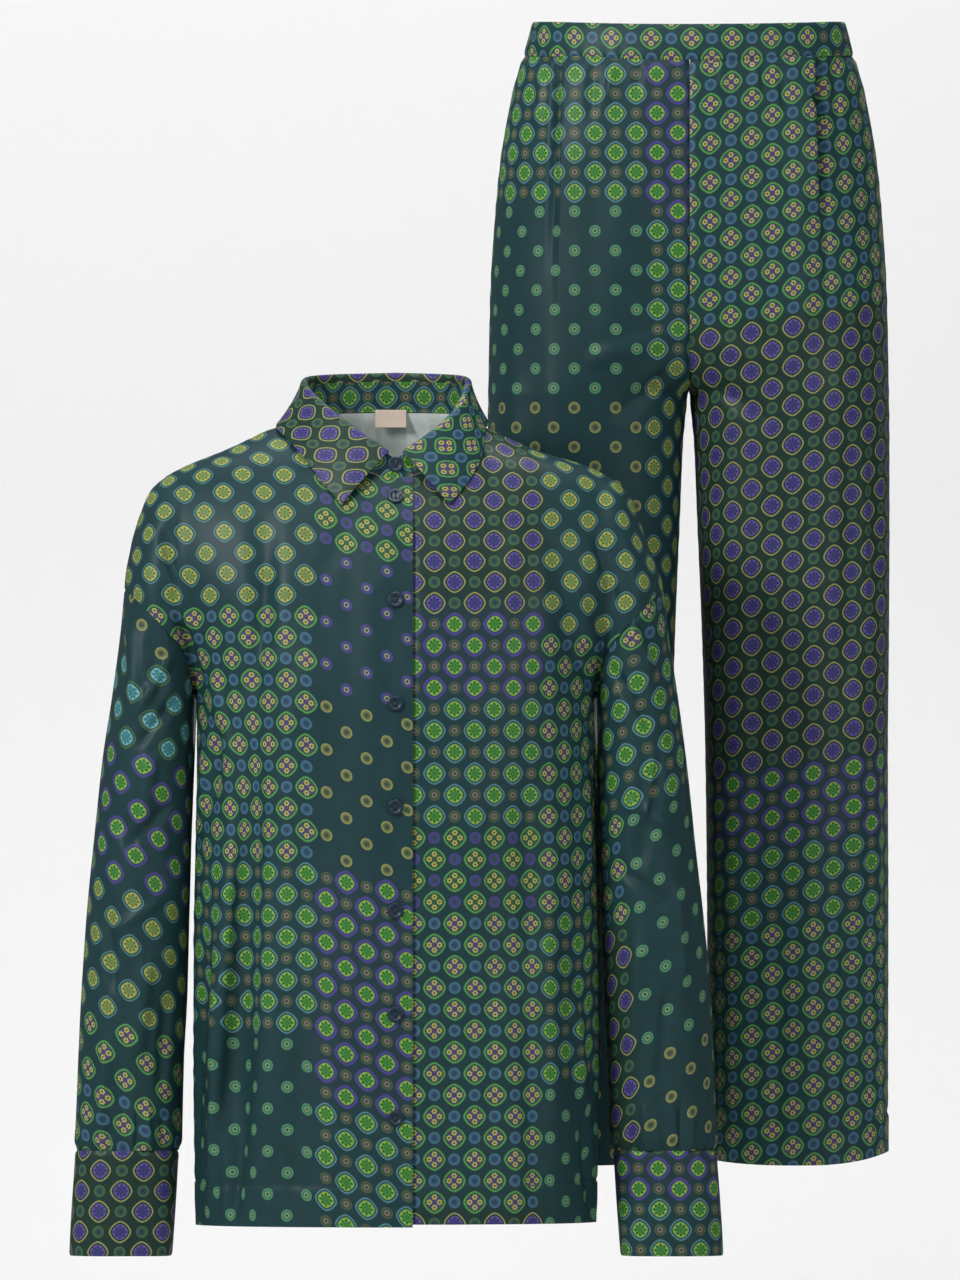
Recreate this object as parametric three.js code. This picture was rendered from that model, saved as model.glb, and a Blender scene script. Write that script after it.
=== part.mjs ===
import * as THREE from 'three';

// A pyjama set in printed satin: a buttoned shirt and wide trousers, both hollow and filled out as if worn.
// Millimetres. X runs to the wearer's left, Y to the back and Z up.
// The origin is the middle of the shirt's neck opening; the trousers hang behind the shirt, to one side.

// Cloth and seams
const CLOTH = 1.2;
const COLLAR_CLOTH = 1.5;
const BAND_CLOTH = 1.8;
const SEAM_GAP = 0.4;
const SIDE_SEAM_HALF_GAP = 0.2;

// Shirt
const FRONT_OVERLAP = 15.5;
const OVERLAP_LIFT = 2.2;
const LIFT_STARTS = 46;
const LIFT_ENDS = 21;
const SHIRT_HEM_Z = -711;
const RIGHT_FRONT_DROP = 2.5;
const SHOULDER_END_Z = -135;
const UNDERARM_Z = -236;
const SHOULDER_BLEND_Z = -55;
const TORSO_SQUARENESS = 2.3;
const ARM_JOIN = 8;
const ARMHOLE_ROWS = 10;
const ARMHOLE_CROWDING = 1.3;
const TOP_EDGE_FADE = 1.4;
const TOP_DRIFT_ROWS = 4;
const SKIRT_ROWS = 11;
const FRONT_NECK_COLUMNS = 6;
const BACK_NECK_COLUMNS = 5;

// Neck opening
const NECK_HALF = 75;
const NECK_SIDE_Z = 22;
const NECK_FRONT_Z = -35;
const NECK_BACK_Z = 25.5;
const NECK_FRONT_Y = 63;
const NECK_BACK_Y = 57;
const NECK_SCOOP = 0.85;

// The shirt's outline from the front: half width at each height, and its lean to the wearer's left.
const OUTLINE = [
  { z: 30, half: 74, lean: -9 },
  { z: 22, half: 75, lean: -9 },
  { z: 7, half: 106, lean: -15 },
  { z: -9, half: 141, lean: -14 },
  { z: -24, half: 183, lean: -9 },
  { z: -34, half: 202, lean: -8 },
  { z: -46, half: 216, lean: -7 },
  { z: -64, half: 225, lean: -6.5 },
  { z: -84, half: 231.5, lean: -6.5 },
  { z: -105, half: 238, lean: -5 },
  { z: -135, half: 246, lean: -2 },
  { z: -170, half: 249.5, lean: -1.5 },
  { z: -236, half: 258, lean: -1 },
  { z: -291, half: 265.7, lean: -1.5 },
  { z: -373, half: 274.4, lean: -1.5 },
  { z: -428, half: 280.3, lean: -1 },
  { z: -510, half: 286.8, lean: 0 },
  { z: -646, half: 292.5, lean: 0 },
];

// Depth of the shirt's body in front of and behind the side seams.
const BODY_DEPTH = [
  { z: 26, front: 10, back: 56 },
  { z: 22, front: 14, back: 58 },
  { z: 5, front: 32, back: 66 },
  { z: -10, front: 47, back: 73 },
  { z: -35, front: 63, back: 84 },
  { z: -80, front: 84, back: 97 },
  { z: -150, front: 103, back: 104 },
  { z: -250, front: 116, back: 102 },
  { z: -400, front: 114, back: 99 },
  { z: -600, front: 116, back: 104 },
  { z: -715, front: 118, back: 108 },
];

// Half width of the shirt's body below the underarm.
const TORSO_WIDTH = [
  { z: -236, half: 182 },
  { z: -291, half: 181.6 },
  { z: -373, half: 183 },
  { z: -455, half: 185 },
  { z: -565, half: 185.6 },
  { z: -646, half: 184.7 },
  { z: -715, half: 182.6 },
];

// Armhole seam: distance of the seam from the centre line at each height.
const ARMHOLE = [
  { z: -135, x: 246 },
  { z: -152, x: 228 },
  { z: -167, x: 213 },
  { z: -179, x: 202 },
  { z: -190, x: 192 },
  { z: -211, x: 185.2 },
  { z: -236, x: 182 },
];

// Sleeve: its inner edge and half depth; the outline gives its outer edge.
const SLEEVE = [
  { z: -30, inner: 180, depth: 10 },
  { z: -55, inner: 180, depth: 36 },
  { z: -80, inner: 180, depth: 46 },
  { z: -110, inner: 180, depth: 52 },
  { z: -135, inner: 180, depth: 56 },
  { z: -176, inner: 180.6, depth: 57 },
  { z: -236, inner: 182.4, depth: 57 },
  { z: -291, inner: 183.6, depth: 56 },
  { z: -373, inner: 185.6, depth: 54 },
  { z: -455, inner: 188.2, depth: 51 },
  { z: -510, inner: 190, depth: 49 },
  { z: -565, inner: 192.9, depth: 46 },
  { z: -646, inner: 194.7, depth: 41 },
];
const SLEEVE_ROWS = 14;
const SLEEVE_SETTLES = 0.35;
const SMOOTH_SEAM_ENDS = 0.4;
const SHARP_SEAM_STARTS = 0.7;
const SLEEVE_END_Z = -646;

// Cuff: a flatter tube that slants outwards to its lower edge.
const CUFF_END_Z = -742;
const CUFF_ROWS = 2;
const CUFF = [
  { z: -646, centre: 244.7, half: 46.6, depth: 37 },
  { z: -742, centre: 250, half: 46.6, depth: 34 },
];
const CUFF_SQUARENESS = 2.3;

// How folds fade: over these shares of their length at the two ends, and where the cloth is this shallow.
const FOLD_START_SHARE = 0.4;
const FOLD_END_SHARE = 0.3;
const FOLD_FULL_DEPTH = 40;

// Largest folds of the shirt, each a soft ridge (height above 0) or trough (below 0) between two places.
const SHIRT_FOLDS = [
  { name: 'side ridge', face: -1, x1: -146, z1: -330, x2: -174, z2: -660, width: 19, height: 8 },
  { name: 'trough inside it', face: -1, x1: -126, z1: -300, x2: -150, z2: -640, width: 20, height: -5 },
  { name: 'second ridge', face: -1, x1: -104, z1: -420, x2: -128, z2: -712, width: 22, height: 3.5 },
  { name: 'chest trough', face: -1, x1: -117, z1: -70, x2: -119, z2: -190, width: 20, height: -4 },
  { name: 'right chest trough', face: -1, x1: 150, z1: -90, x2: 166, z2: -250, width: 22, height: -5 },
  { name: 'left front trough', face: -1, x1: 160, z1: -420, x2: 168, z2: -620, width: 20, height: -5 },
  { name: 'left front ridge', face: -1, x1: 138, z1: -380, x2: 148, z2: -712, width: 22, height: 4 },
  { name: 'back ridge', face: 1, x1: -96, z1: -150, x2: -118, z2: -690, width: 26, height: 5 },
  { name: 'back trough', face: 1, x1: -136, z1: -260, x2: -146, z2: -650, width: 22, height: -6 },
  { name: 'back left ridge', face: 1, x1: 108, z1: -190, x2: 126, z2: -712, width: 26, height: 5 },
  { name: 'back left trough', face: 1, x1: 142, z1: -300, x2: 150, z2: -600, width: 20, height: -6 },
  { name: 'back middle trough', face: 1, x1: 18, z1: -260, x2: 8, z2: -690, width: 34, height: -4 },
];

// Largest folds of the sleeves, in the same form.
const SLEEVE_FOLDS = [
  { name: 'right upper crease', face: -1, x1: -228, z1: -150, x2: -214, z2: -225, width: 12, height: -5 },
  { name: 'right elbow trough', face: -1, x1: -252, z1: -340, x2: -212, z2: -400, width: 16, height: -4 },
  { name: 'left elbow crease', face: -1, x1: 238, z1: -270, x2: 222, z2: -390, width: 14, height: -5 },
  { name: 'left upper crease', face: -1, x1: 226, z1: -170, x2: 246, z2: -215, width: 12, height: -4 },
  { name: 'right back trough', face: 1, x1: -236, z1: -300, x2: -222, z2: -470, width: 18, height: -6 },
  { name: 'left back trough', face: 1, x1: 234, z1: -320, x2: 224, z2: -450, width: 18, height: -6 },
  { name: 'right cuff gather', face: -1, x1: -252, z1: -560, x2: -246, z2: -650, width: 12, height: -4 },
  { name: 'left cuff gather', face: -1, x1: 240, z1: -570, x2: 246, z2: -650, width: 12, height: -4 },
];

// Collar, by the angle round the neck from the middle of the front: height of the roll, and how far
// below it the stand ends.
const ROLL = [
  { angle: 0, z: -14, seam: 4 },
  { angle: 7, z: -8, seam: 4 },
  { angle: 26, z: 8, seam: 6 },
  { angle: 47, z: 26, seam: 7 },
  { angle: 70, z: 45, seam: 8 },
  { angle: 90, z: 56, seam: 8 },
  { angle: 130, z: 60, seam: 8 },
  { angle: 180, z: 62, seam: 8 },
];
const STAND_DRAW_IN = 0.001;
const STAND_END_HEIGHT = 14;
const STAND_FOOT_GAP = 0.7;

// Outer edge of the turned-down collar from its point to the middle of the back; face is -1 on the front.
const FALL_EDGE = [
  { way: 0, x: 49, z: -58.5, face: -1 },
  { way: 0.14, x: 66, z: -39, face: -1 },
  { way: 0.28, x: 82, z: -14, face: -1 },
  { way: 0.42, x: 94, z: 8, face: -1 },
  { way: 0.5, x: 97.5, z: 14.5, face: 0 },
  { way: 0.62, x: 90, z: 16.5, face: 1 },
  { way: 0.8, x: 57, z: 18, face: 1 },
  { way: 1, x: 0, z: 17, face: 1 },
];
const FALL_ABOVE = 4;
const FALL_AHEAD = 3;
const FALL_FOOT_GAP = 0.8;
const FALL_BULGE = 2;
const FALL_ROWS = 4;
const ROLL_RADIUS = 3;
const ROLL_INSIDE = { way: 0.75, outwards: 0.45 };
const ROLL_OUTSIDE_WAY = 0.7;

// Woven label, blank, inside the back of the neck.
const LABEL = { x: -5, top: 28, width: 28, height: 16, thickness: 0.8, clear: 1.1, columns: 4 };

// Buttons
const BUTTON_DIAMETER = 14.5;
const BUTTON_THICKNESS = 2.8;
const BUTTON_WELL_DIAMETER = 7.6;
const BUTTON_WELL_DEPTH = 0.9;
const BUTTON_WELL_SLOPE = 0.5;
const BUTTON_FLAT_SHARE = 0.86;
const BUTTON_SIDES = 16;
const BUTTON_COUNT = 8;
const COLLAR_BUTTON_Z = -22.7;
const FIRST_FRONT_BUTTON_Z = -51.9;
const BUTTON_PITCH = 93.8;

// Trousers
const TROUSERS_PLACE = { x: 268.4, y: 238 };
const WAIST_Z = 387;
const WAISTBAND_HEIGHT = 31;
const WAIST_DIP = 4;
const SEAM_DIP = 6;
const CROTCH_Z = 44;
const HIP_JOIN_SHARE = 0.62;
const SEAM_DIP_FADE = 60;
const TROUSER_HEM_Z = -664;
const HEM_RISE_OUTSIDE = 12;
const HEM_RISE_INSIDE = 5;
const HEM_RISE_BACK = 8;
const HIP_ROWS = 9;
const LEG_ROWS = 9;
const LEG_COLUMNS = 11;
const PLEAT_COLUMN = 5;
const PLEAT_STEP = 5;
const PLEAT_HALF_WIDTH = 1.4;
const PLEAT_SWELL = 62;
const PLEAT_END_Z = 60;
const PLEAT_FADE_SHARE = 0.8;
const WAISTBAND_COLUMNS = 18;

// Half width, front depth, back depth and squareness of the trousers; inner is half the gap between the legs.
const TROUSERS = [
  { z: 392, half: 142.5, inner: 0, front: 88, back: 90, square: 2.1 },
  { z: 361, half: 150.5, inner: 0, front: 94, back: 98, square: 2.1 },
  { z: 330, half: 160.3, inner: 0, front: 97, back: 108, square: 2.2 },
  { z: 298, half: 167, inner: 0, front: 99, back: 116, square: 2.2 },
  { z: 258, half: 173.5, inner: 0, front: 100, back: 121, square: 2.3 },
  { z: 198, half: 179, inner: 0, front: 99, back: 120, square: 2.3 },
  { z: 140, half: 182.5, inner: 0, front: 96, back: 114, square: 2.4 },
  { z: 44, half: 184.5, inner: 1.2, front: 90, back: 100, square: 2.5 },
  { z: 0, half: 185, inner: 5, front: 88, back: 94, square: 2.6 },
  { z: -72, half: 185, inner: 8, front: 86, back: 89, square: 2.7 },
  { z: -182, half: 184.5, inner: 12.5, front: 84, back: 85, square: 2.8 },
  { z: -292, half: 183.5, inner: 15.5, front: 83, back: 84, square: 2.8 },
  { z: -430, half: 184, inner: 17, front: 83, back: 84, square: 2.7 },
  { z: -664, half: 183.6, inner: 18, front: 84, back: 85, square: 2.6 },
];

// Where the two front pleats lie, as a distance from the trousers' middle.
const PLEAT_LINE = [
  { z: 361, x: 117 },
  { z: 300, x: 119 },
  { z: 200, x: 121 },
  { z: 60, x: 125 },
];

// Largest folds of the legs, with x measured from the trousers' middle.
const LEG_FOLDS = [
  { name: 'right front trough', face: -1, x1: -148, z1: 120, x2: -140, z2: -180, width: 22, height: -4 },
  { name: 'right front ridge', face: -1, x1: -128, z1: 40, x2: -112, z2: -640, width: 26, height: 4 },
  { name: 'left front ridge', face: -1, x1: 118, z1: -20, x2: 104, z2: -640, width: 28, height: 4 },
  { name: 'left front trough', face: -1, x1: 150, z1: 60, x2: 152, z2: -240, width: 20, height: -4 },
  { name: 'right back trough', face: 1, x1: -120, z1: 90, x2: -108, z2: -420, width: 26, height: -6 },
  { name: 'left back trough', face: 1, x1: 116, z1: 70, x2: 108, z2: -460, width: 26, height: -6 },
];

const satin = (colour) => new THREE.MeshStandardMaterial({ color: colour, roughness: 0.42, metalness: 0 });
const SATIN_TEAL = '#2c464a';
const SATIN_GREEN = '#2a4038';
const LABEL_PEACH = '#eed9cb';
const BUTTON_TEAL = '#3b525c';

const radians = (degrees) => THREE.MathUtils.degToRad(degrees);
const mix = (a, b, t) => a + (b - a) * t;
const smooth = (t) => THREE.MathUtils.smoothstep(t, 0, 1);

// Reads one column of a table at a given place, by a cubic that never overshoots its rows.
function read(rows, key, column, place) {
  const order = rows[0][key] > rows[rows.length - 1][key] ? -1 : 1;
  const at = order * place;
  const stop = rows.map((row) => order * row[key]);
  const value = rows.map((row) => row[column]);
  const last = rows.length - 1;
  if (at <= stop[0]) return value[0];
  if (at >= stop[last]) return value[last];
  const slope = stop.slice(1).map((s, i) => (value[i + 1] - value[i]) / (s - stop[i]));
  const tangent = (i) => {
    if (i === 0) return slope[0];
    if (i === last) return slope[last - 1];
    if (slope[i - 1] * slope[i] <= 0) return 0;
    return (2 * slope[i - 1] * slope[i]) / (slope[i - 1] + slope[i]);
  };
  const i = stop.findIndex((s) => s > at) - 1;
  const span = stop[i + 1] - stop[i];
  const t = (at - stop[i]) / span;
  const start = value[i] * (1 + 2 * t) * (1 - t) ** 2 + tangent(i) * span * t * (1 - t) ** 2;
  return start + value[i + 1] * t * t * (3 - 2 * t) + tangent(i + 1) * span * t * t * (t - 1);
}

// Height of all the listed folds at one place of the cloth, each fading out at its two ends.
function foldHeight(folds, face, x, z) {
  let height = 0;
  for (const fold of folds.filter((f) => f.face === face)) {
    const runX = fold.x2 - fold.x1;
    const runZ = fold.z2 - fold.z1;
    const length = Math.hypot(runX, runZ);
    const along = ((x - fold.x1) * runX + (z - fold.z1) * runZ) / length;
    const across = ((x - fold.x1) * runZ - (z - fold.z1) * runX) / length;
    if (Math.abs(across) >= fold.width) continue;
    const starts = smooth((along + fold.width) / (length * FOLD_START_SHARE));
    const ends = smooth((length + fold.width - along) / (length * FOLD_END_SHARE));
    height += fold.height * starts * ends * Math.cos((across / fold.width) * (Math.PI / 2)) ** 2;
  }
  return height;
}

// Distance of a superellipse from its long axis at x.
function roundDepth(x, half, depth, squareness) {
  const share = Math.abs(x) / half;
  return share >= 1 ? 0 : depth * (1 - share ** squareness) ** (1 / squareness);
}

// Closed thin solid from rows of points on its outer face; the columns of a tube run all round.
function clothSolid(name, rows, { wall, tube = false, outward, fixNormal = null, colour }) {
  const height = rows.length;
  const width = rows[0].length;
  const column = (k) => (tube ? (k + width) % width : THREE.MathUtils.clamp(k, 0, width - 1));
  const row = (r) => THREE.MathUtils.clamp(r, 0, height - 1);
  const normals = rows.map((line, r) => line.map((_, k) => {
    const across = rows[r][column(k + 1)].clone().sub(rows[r][column(k - 1)]);
    const down = rows[row(r + 1)][k].clone().sub(rows[row(r - 1)][k]);
    return across.cross(down).normalize();
  }));
  const middle = Math.floor(height / 2);
  const probe = tube ? 0 : Math.floor(width / 2);
  const side = Math.sign(normals[middle][probe].dot(outward)) || 1;
  normals.forEach((line, r) => line.forEach((n, k) => {
    n.multiplyScalar(side);
    if (fixNormal) fixNormal(n, r, k);
    n.normalize();
  }));
  const points = [...rows.flat()];
  rows.forEach((line, r) => line.forEach((p, k) => {
    points.push(p.clone().addScaledVector(normals[r][k], -wall));
  }));
  const outer = (r, k) => r * width + column(k);
  const inner = (r, k) => height * width + outer(r, k);
  const faces = [];
  const addFace = (a, b, c) => faces.push(side > 0 ? [a, b, c] : [a, c, b]);
  const addQuad = (a, b, c, d) => {
    addFace(a, b, c);
    addFace(a, c, d);
  };
  const lastColumn = tube ? width : width - 1;
  for (let r = 0; r < height - 1; r += 1) {
    for (let k = 0; k < lastColumn; k += 1) {
      const down = rows[r][k].distanceTo(rows[r + 1][column(k + 1)]);
      const up = rows[r + 1][k].distanceTo(rows[r][column(k + 1)]);
      const corners = [[r, k], [r, k + 1], [r + 1, k + 1], [r + 1, k]];
      if (up < down) corners.push(corners.shift());
      addQuad(...corners.map(([i, j]) => outer(i, j)));
      const back = corners.map(([i, j]) => inner(i, j));
      addFace(back[0], back[2], back[1]);
      addFace(back[0], back[3], back[2]);
    }
  }
  for (let k = 0; k < lastColumn; k += 1) {
    addQuad(outer(0, k), inner(0, k), inner(0, k + 1), outer(0, k + 1));
    addQuad(outer(height - 1, k + 1), inner(height - 1, k + 1), inner(height - 1, k), outer(height - 1, k));
  }
  if (!tube) {
    for (let r = 0; r < height - 1; r += 1) {
      addQuad(outer(r + 1, 0), inner(r + 1, 0), inner(r, 0), outer(r, 0));
      addQuad(outer(r, lastColumn), inner(r, lastColumn), inner(r + 1, lastColumn), outer(r + 1, lastColumn));
    }
  }
  const geometry = new THREE.BufferGeometry().setFromPoints(points);
  geometry.setIndex(faces.flat());
  geometry.computeVertexNormals();
  const mesh = new THREE.Mesh(geometry, satin(colour));
  mesh.name = name;
  return { mesh, rows, normals };
}

// Moves a point of the symmetric shirt sideways by the lean of its outline.
function leaned(x, y, z) {
  const share = Math.abs(x) / read(OUTLINE, 'z', 'half', z);
  return new THREE.Vector3(x + read(OUTLINE, 'z', 'lean', z) * Math.min(1, share) ** 2, y, z);
}

// Depth of the shirt's body at x and z: the torso's curve joined softly to the top of the arm.
function shirtDepth(x, z, face) {
  const outline = read(OUTLINE, 'z', 'half', z);
  const torso = read(TORSO_WIDTH, 'z', 'half', z);
  const rise = smooth((z - UNDERARM_Z) / (SHOULDER_BLEND_Z - UNDERARM_Z));
  const half = z > UNDERARM_Z ? mix(torso, outline, rise) : torso;
  const depth = read(BODY_DEPTH, 'z', face < 0 ? 'front' : 'back', z);
  const body = roundDepth(x, half, depth, mix(TORSO_SQUARENESS, 2, rise));
  if (z < UNDERARM_Z) return body;
  const inner = read(SLEEVE, 'z', 'inner', z);
  const armHalf = (outline - inner) / 2;
  const armDepth = z > SLEEVE[0].z ? 0 : read(SLEEVE, 'z', 'depth', z);
  const arm = armHalf > 1 ? roundDepth(Math.abs(x) - inner - armHalf, armHalf, armDepth, 2) : 0;
  return (body ** ARM_JOIN + arm ** ARM_JOIN) ** (1 / ARM_JOIN);
}

// Depth of the shirt with its folds, which vanish towards the side seams.
function foldedDepth(x, z, face) {
  const depth = shirtDepth(x, z, face);
  return depth + foldHeight(SHIRT_FOLDS, face, x, z) * Math.min(1, depth / FOLD_FULL_DEPTH);
}

// Neck seam by the angle from the middle of the front, positive to the wearer's left.
function neckSeam(angle) {
  const across = Math.sin(radians(angle));
  const ahead = Math.cos(radians(angle));
  const scoop = (NECK_SIDE_Z - NECK_FRONT_Z) * (ahead * ahead) ** NECK_SCOOP;
  const z = ahead > 0 ? NECK_SIDE_Z - scoop : NECK_SIDE_Z - (NECK_BACK_Z - NECK_SIDE_Z) * ahead;
  const y = ahead > 0 ? -NECK_FRONT_Y * ahead : -NECK_BACK_Y * ahead;
  return { x: NECK_HALF * across, y, z };
}

// Heights of the shoulder seam's points, spaced evenly along it.
const SHOULDER_STOPS = [7, -9, -20, -31, -45, -68, -98, SHOULDER_END_Z];

// Top edge of a half panel: the neck seam from one angle to the shoulder, then the shoulder seam.
function topEdge(startAngle, neckColumns) {
  const edge = [];
  for (let i = 0; i <= neckColumns; i += 1) {
    edge.push(neckSeam(mix(startAngle, 90, i / neckColumns)));
  }
  SHOULDER_STOPS.forEach((z) => edge.push({ x: read(OUTLINE, 'z', 'half', z), y: 0, z }));
  return edge;
}

// Heights of the rows along the armhole and the side seam.
function sideStops(hem) {
  const stops = [];
  for (let r = 0; r <= ARMHOLE_ROWS; r += 1) {
    stops.push(mix(SHOULDER_END_Z, UNDERARM_Z, (r / ARMHOLE_ROWS) ** ARMHOLE_CROWDING));
  }
  for (let r = 1; r <= SKIRT_ROWS; r += 1) stops.push(mix(UNDERARM_Z, hem, r / SKIRT_ROWS));
  return stops;
}

// Distance of a panel's outer edge from the centre line: the armhole, then the side seam.
function sideEdge(z) {
  return z > UNDERARM_Z ? read(ARMHOLE, 'z', 'x', z) : read(TORSO_WIDTH, 'z', 'half', z);
}

// Half of the shirt's body on one face, as rows from its centre edge to its outer edge.
// side is 1 on the wearer's left; start is the signed distance of the centre edge.
function halfPanel({ side, face, start, startAngle, neckColumns, hem, lift = () => 0 }) {
  const edge = topEdge(startAngle, neckColumns);
  const last = edge.length - 1;
  const stops = sideStops(hem);
  return stops.map((sideZ, r) => {
    const down = Math.min(1, r / ARMHOLE_ROWS);
    const keep = 1 - down ** TOP_EDGE_FADE;
    const half = sideEdge(sideZ);
    const firstAngle = Math.asin(start / half);
    return edge.map((top, k) => {
      const z = k === last ? sideZ : sideZ + (top.z - SHOULDER_END_Z) * keep;
      const spread = half * Math.sin(mix(firstAngle, Math.PI / 2, k / last));
      const topShare = (top.x - edge[0].x) / (edge[last].x - edge[0].x);
      const x = mix(start + (half - start) * topShare, spread, down);
      const depth = foldedDepth(side * x, z, face);
      const drift = Math.abs(top.y) - shirtDepth(top.x, top.z, face);
      const settled = Math.max(0, depth + drift * Math.max(0, 1 - r / TOP_DRIFT_ROWS));
      const y = face * (settled + SIDE_SEAM_HALF_GAP + lift(side * x));
      return leaned(side * x, y, z);
    });
  });
}

// Keeps the cut edges of shoulder and side seams in their own plane, so that front and back stay apart.
function seamNormals(last) {
  return (n, r, k) => {
    const onSide = k === last && r >= ARMHOLE_ROWS;
    const onShoulder = r === 0 && k >= last - SHOULDER_STOPS.length;
    if (onSide || onShoulder) n.y = 0;
  };
}

// How far the wearer's right front rises to lie over the left one at the buttons.
const overlapLift = (x) => OVERLAP_LIFT * smooth((x + LIFT_STARTS) / (LIFT_STARTS - LIFT_ENDS));

// Angle round the neck at which each front ends, past the middle.
const OVERLAP_ANGLE = THREE.MathUtils.radToDeg(Math.asin(FRONT_OVERLAP / NECK_HALF));

// One front. The wearer's right front lies over the left one at the buttons.
function shirtFront(name, side) {
  const startAngle = -OVERLAP_ANGLE;
  const over = side < 0;
  const lift = (x) => (over ? overlapLift(x) : 0);
  const hem = over ? SHIRT_HEM_Z - RIGHT_FRONT_DROP : SHIRT_HEM_Z;
  const rows = halfPanel({
    side, face: -1, start: -FRONT_OVERLAP, startAngle, neckColumns: FRONT_NECK_COLUMNS, hem, lift,
  });
  const last = rows[0].length - 1;
  const outward = new THREE.Vector3(0, -1, 0);
  return clothSolid(name, rows, { wall: CLOTH, outward, fixNormal: seamNormals(last), colour: SATIN_GREEN });
}

// The back, one piece from armhole to armhole.
function shirtBack(name) {
  const half = (side) => halfPanel({
    side, face: 1, start: 0, startAngle: 180, neckColumns: BACK_NECK_COLUMNS, hem: SHIRT_HEM_Z,
  });
  const right = half(-1);
  const left = half(1);
  const rows = right.map((line, r) => [...line.slice(1).reverse(), ...left[r]]);
  const last = rows[0].length - 1;
  const outward = new THREE.Vector3(0, 1, 0);
  const fixNormal = (n, r, k) => {
    const onSide = (k === last || k === 0) && r >= ARMHOLE_ROWS;
    const fromEnd = Math.min(k, last - k);
    if (onSide || (r === 0 && fromEnd <= SHOULDER_STOPS.length)) n.y = 0;
  };
  return clothSolid(name, rows, { wall: CLOTH, outward, fixNormal, colour: SATIN_TEAL });
}

// Armhole seam of one side as a ring: shoulder end, down the front edge, underarm, up the back edge.
function armholeRing(front, back, side) {
  const frontColumn = front.rows[0].length - 1;
  const backColumn = side > 0 ? back.rows[0].length - 1 : 0;
  const pick = (panel, r, k) => ({ point: panel.rows[r][k].clone(), normal: panel.normals[r][k].clone() });
  const ring = [];
  for (let r = 0; r <= ARMHOLE_ROWS; r += 1) ring.push(pick(front, r, frontColumn));
  for (let r = ARMHOLE_ROWS - 1; r > 0; r -= 1) ring.push(pick(back, r, backColumn));
  const gap = new THREE.Vector3(side * SEAM_GAP, 0, -SEAM_GAP);
  ring.forEach((stop) => stop.point.add(gap));
  ring[0].point.y = 0;
  ring[ARMHOLE_ROWS].point.y = 0;
  ring[ARMHOLE_ROWS].normal.set(-side, 0, 0);
  return ring;
}

// One sleeve, hung from its armhole ring down to the cuff. Its edge follows the panels' surface over the
// shoulder and stands against it at the underarm, where the seam is a sharp crease.
function sleeve(name, side, ring) {
  const count = ring.length;
  const section = (z) => {
    const outer = read(OUTLINE, 'z', 'half', z);
    const inner = read(SLEEVE, 'z', 'inner', z);
    return { centre: (outer + inner) / 2, half: (outer - inner) / 2, depth: read(SLEEVE, 'z', 'depth', z) };
  };
  const place = (z, angle, face) => {
    const { centre, half, depth } = section(z);
    const x = side * (centre + half * Math.cos(angle));
    const fold = foldHeight(SLEEVE_FOLDS, face, x, z) * Math.sin(angle);
    return leaned(x, face * (depth * Math.sin(angle) + fold), z);
  };
  const starts = ring.map((stop, j) => {
    const { x, z } = stop.point;
    const { centre, half } = section(z);
    const lean = read(OUTLINE, 'z', 'lean', z) * (x / read(OUTLINE, 'z', 'half', z)) ** 2;
    const share = THREE.MathUtils.clamp((side * (x - lean) - centre) / half, -1, 1);
    const face = j <= ARMHOLE_ROWS ? -1 : 1;
    const angle = Math.acos(share);
    const drift = stop.point.clone().sub(place(z, angle, face));
    return { angle, face, z, drift };
  });
  const rows = [];
  for (let r = 0; r <= SLEEVE_ROWS; r += 1) {
    const down = r / SLEEVE_ROWS;
    rows.push(starts.map((start, j) => {
      const turn = Math.min(j, count - j) / (count / 2);
      const angle = mix(start.angle, Math.PI * turn, smooth(down / SLEEVE_SETTLES));
      const z = mix(start.z, SLEEVE_END_Z + SEAM_GAP / 2, down);
      return place(z, angle, start.face).addScaledVector(start.drift, 1 - smooth(down / SLEEVE_SETTLES));
    }));
  }
  const fixNormal = (n, r, k) => {
    if (r > 0) return;
    const turn = Math.min(k, count - k) / (count / 2);
    const own = smooth((turn - SMOOTH_SEAM_ENDS) / (SHARP_SEAM_STARTS - SMOOTH_SEAM_ENDS));
    n.lerp(ring[k].normal, 1 - own);
  };
  const outward = new THREE.Vector3(side, 0, 0);
  return clothSolid(name, rows, { wall: CLOTH, tube: true, outward, fixNormal, colour: SATIN_TEAL }).mesh;
}

// One cuff, a flatter tube below the sleeve.
function cuff(name, side, columns) {
  const rows = [];
  for (let r = 0; r <= CUFF_ROWS; r += 1) {
    const z = mix(SLEEVE_END_Z - SEAM_GAP / 2, CUFF_END_Z, r / CUFF_ROWS);
    const centre = read(CUFF, 'z', 'centre', z);
    const half = read(CUFF, 'z', 'half', z);
    const depth = read(CUFF, 'z', 'depth', z);
    const line = [];
    for (let k = 0; k < columns; k += 1) {
      const angle = (k / columns) * Math.PI * 2;
      const out = Math.cos(angle);
      const back = -Math.sin(angle);
      const x = centre + half * Math.sign(out) * Math.abs(out) ** (2 / CUFF_SQUARENESS);
      const y = depth * Math.sign(back) * Math.abs(back) ** (2 / CUFF_SQUARENESS);
      line.push(new THREE.Vector3(side * x, y, z));
    }
    rows.push(line);
  }
  const outward = new THREE.Vector3(side, 0, 0);
  return clothSolid(name, rows, { wall: BAND_CLOTH, tube: true, outward, colour: SATIN_GREEN }).mesh;
}

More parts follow.
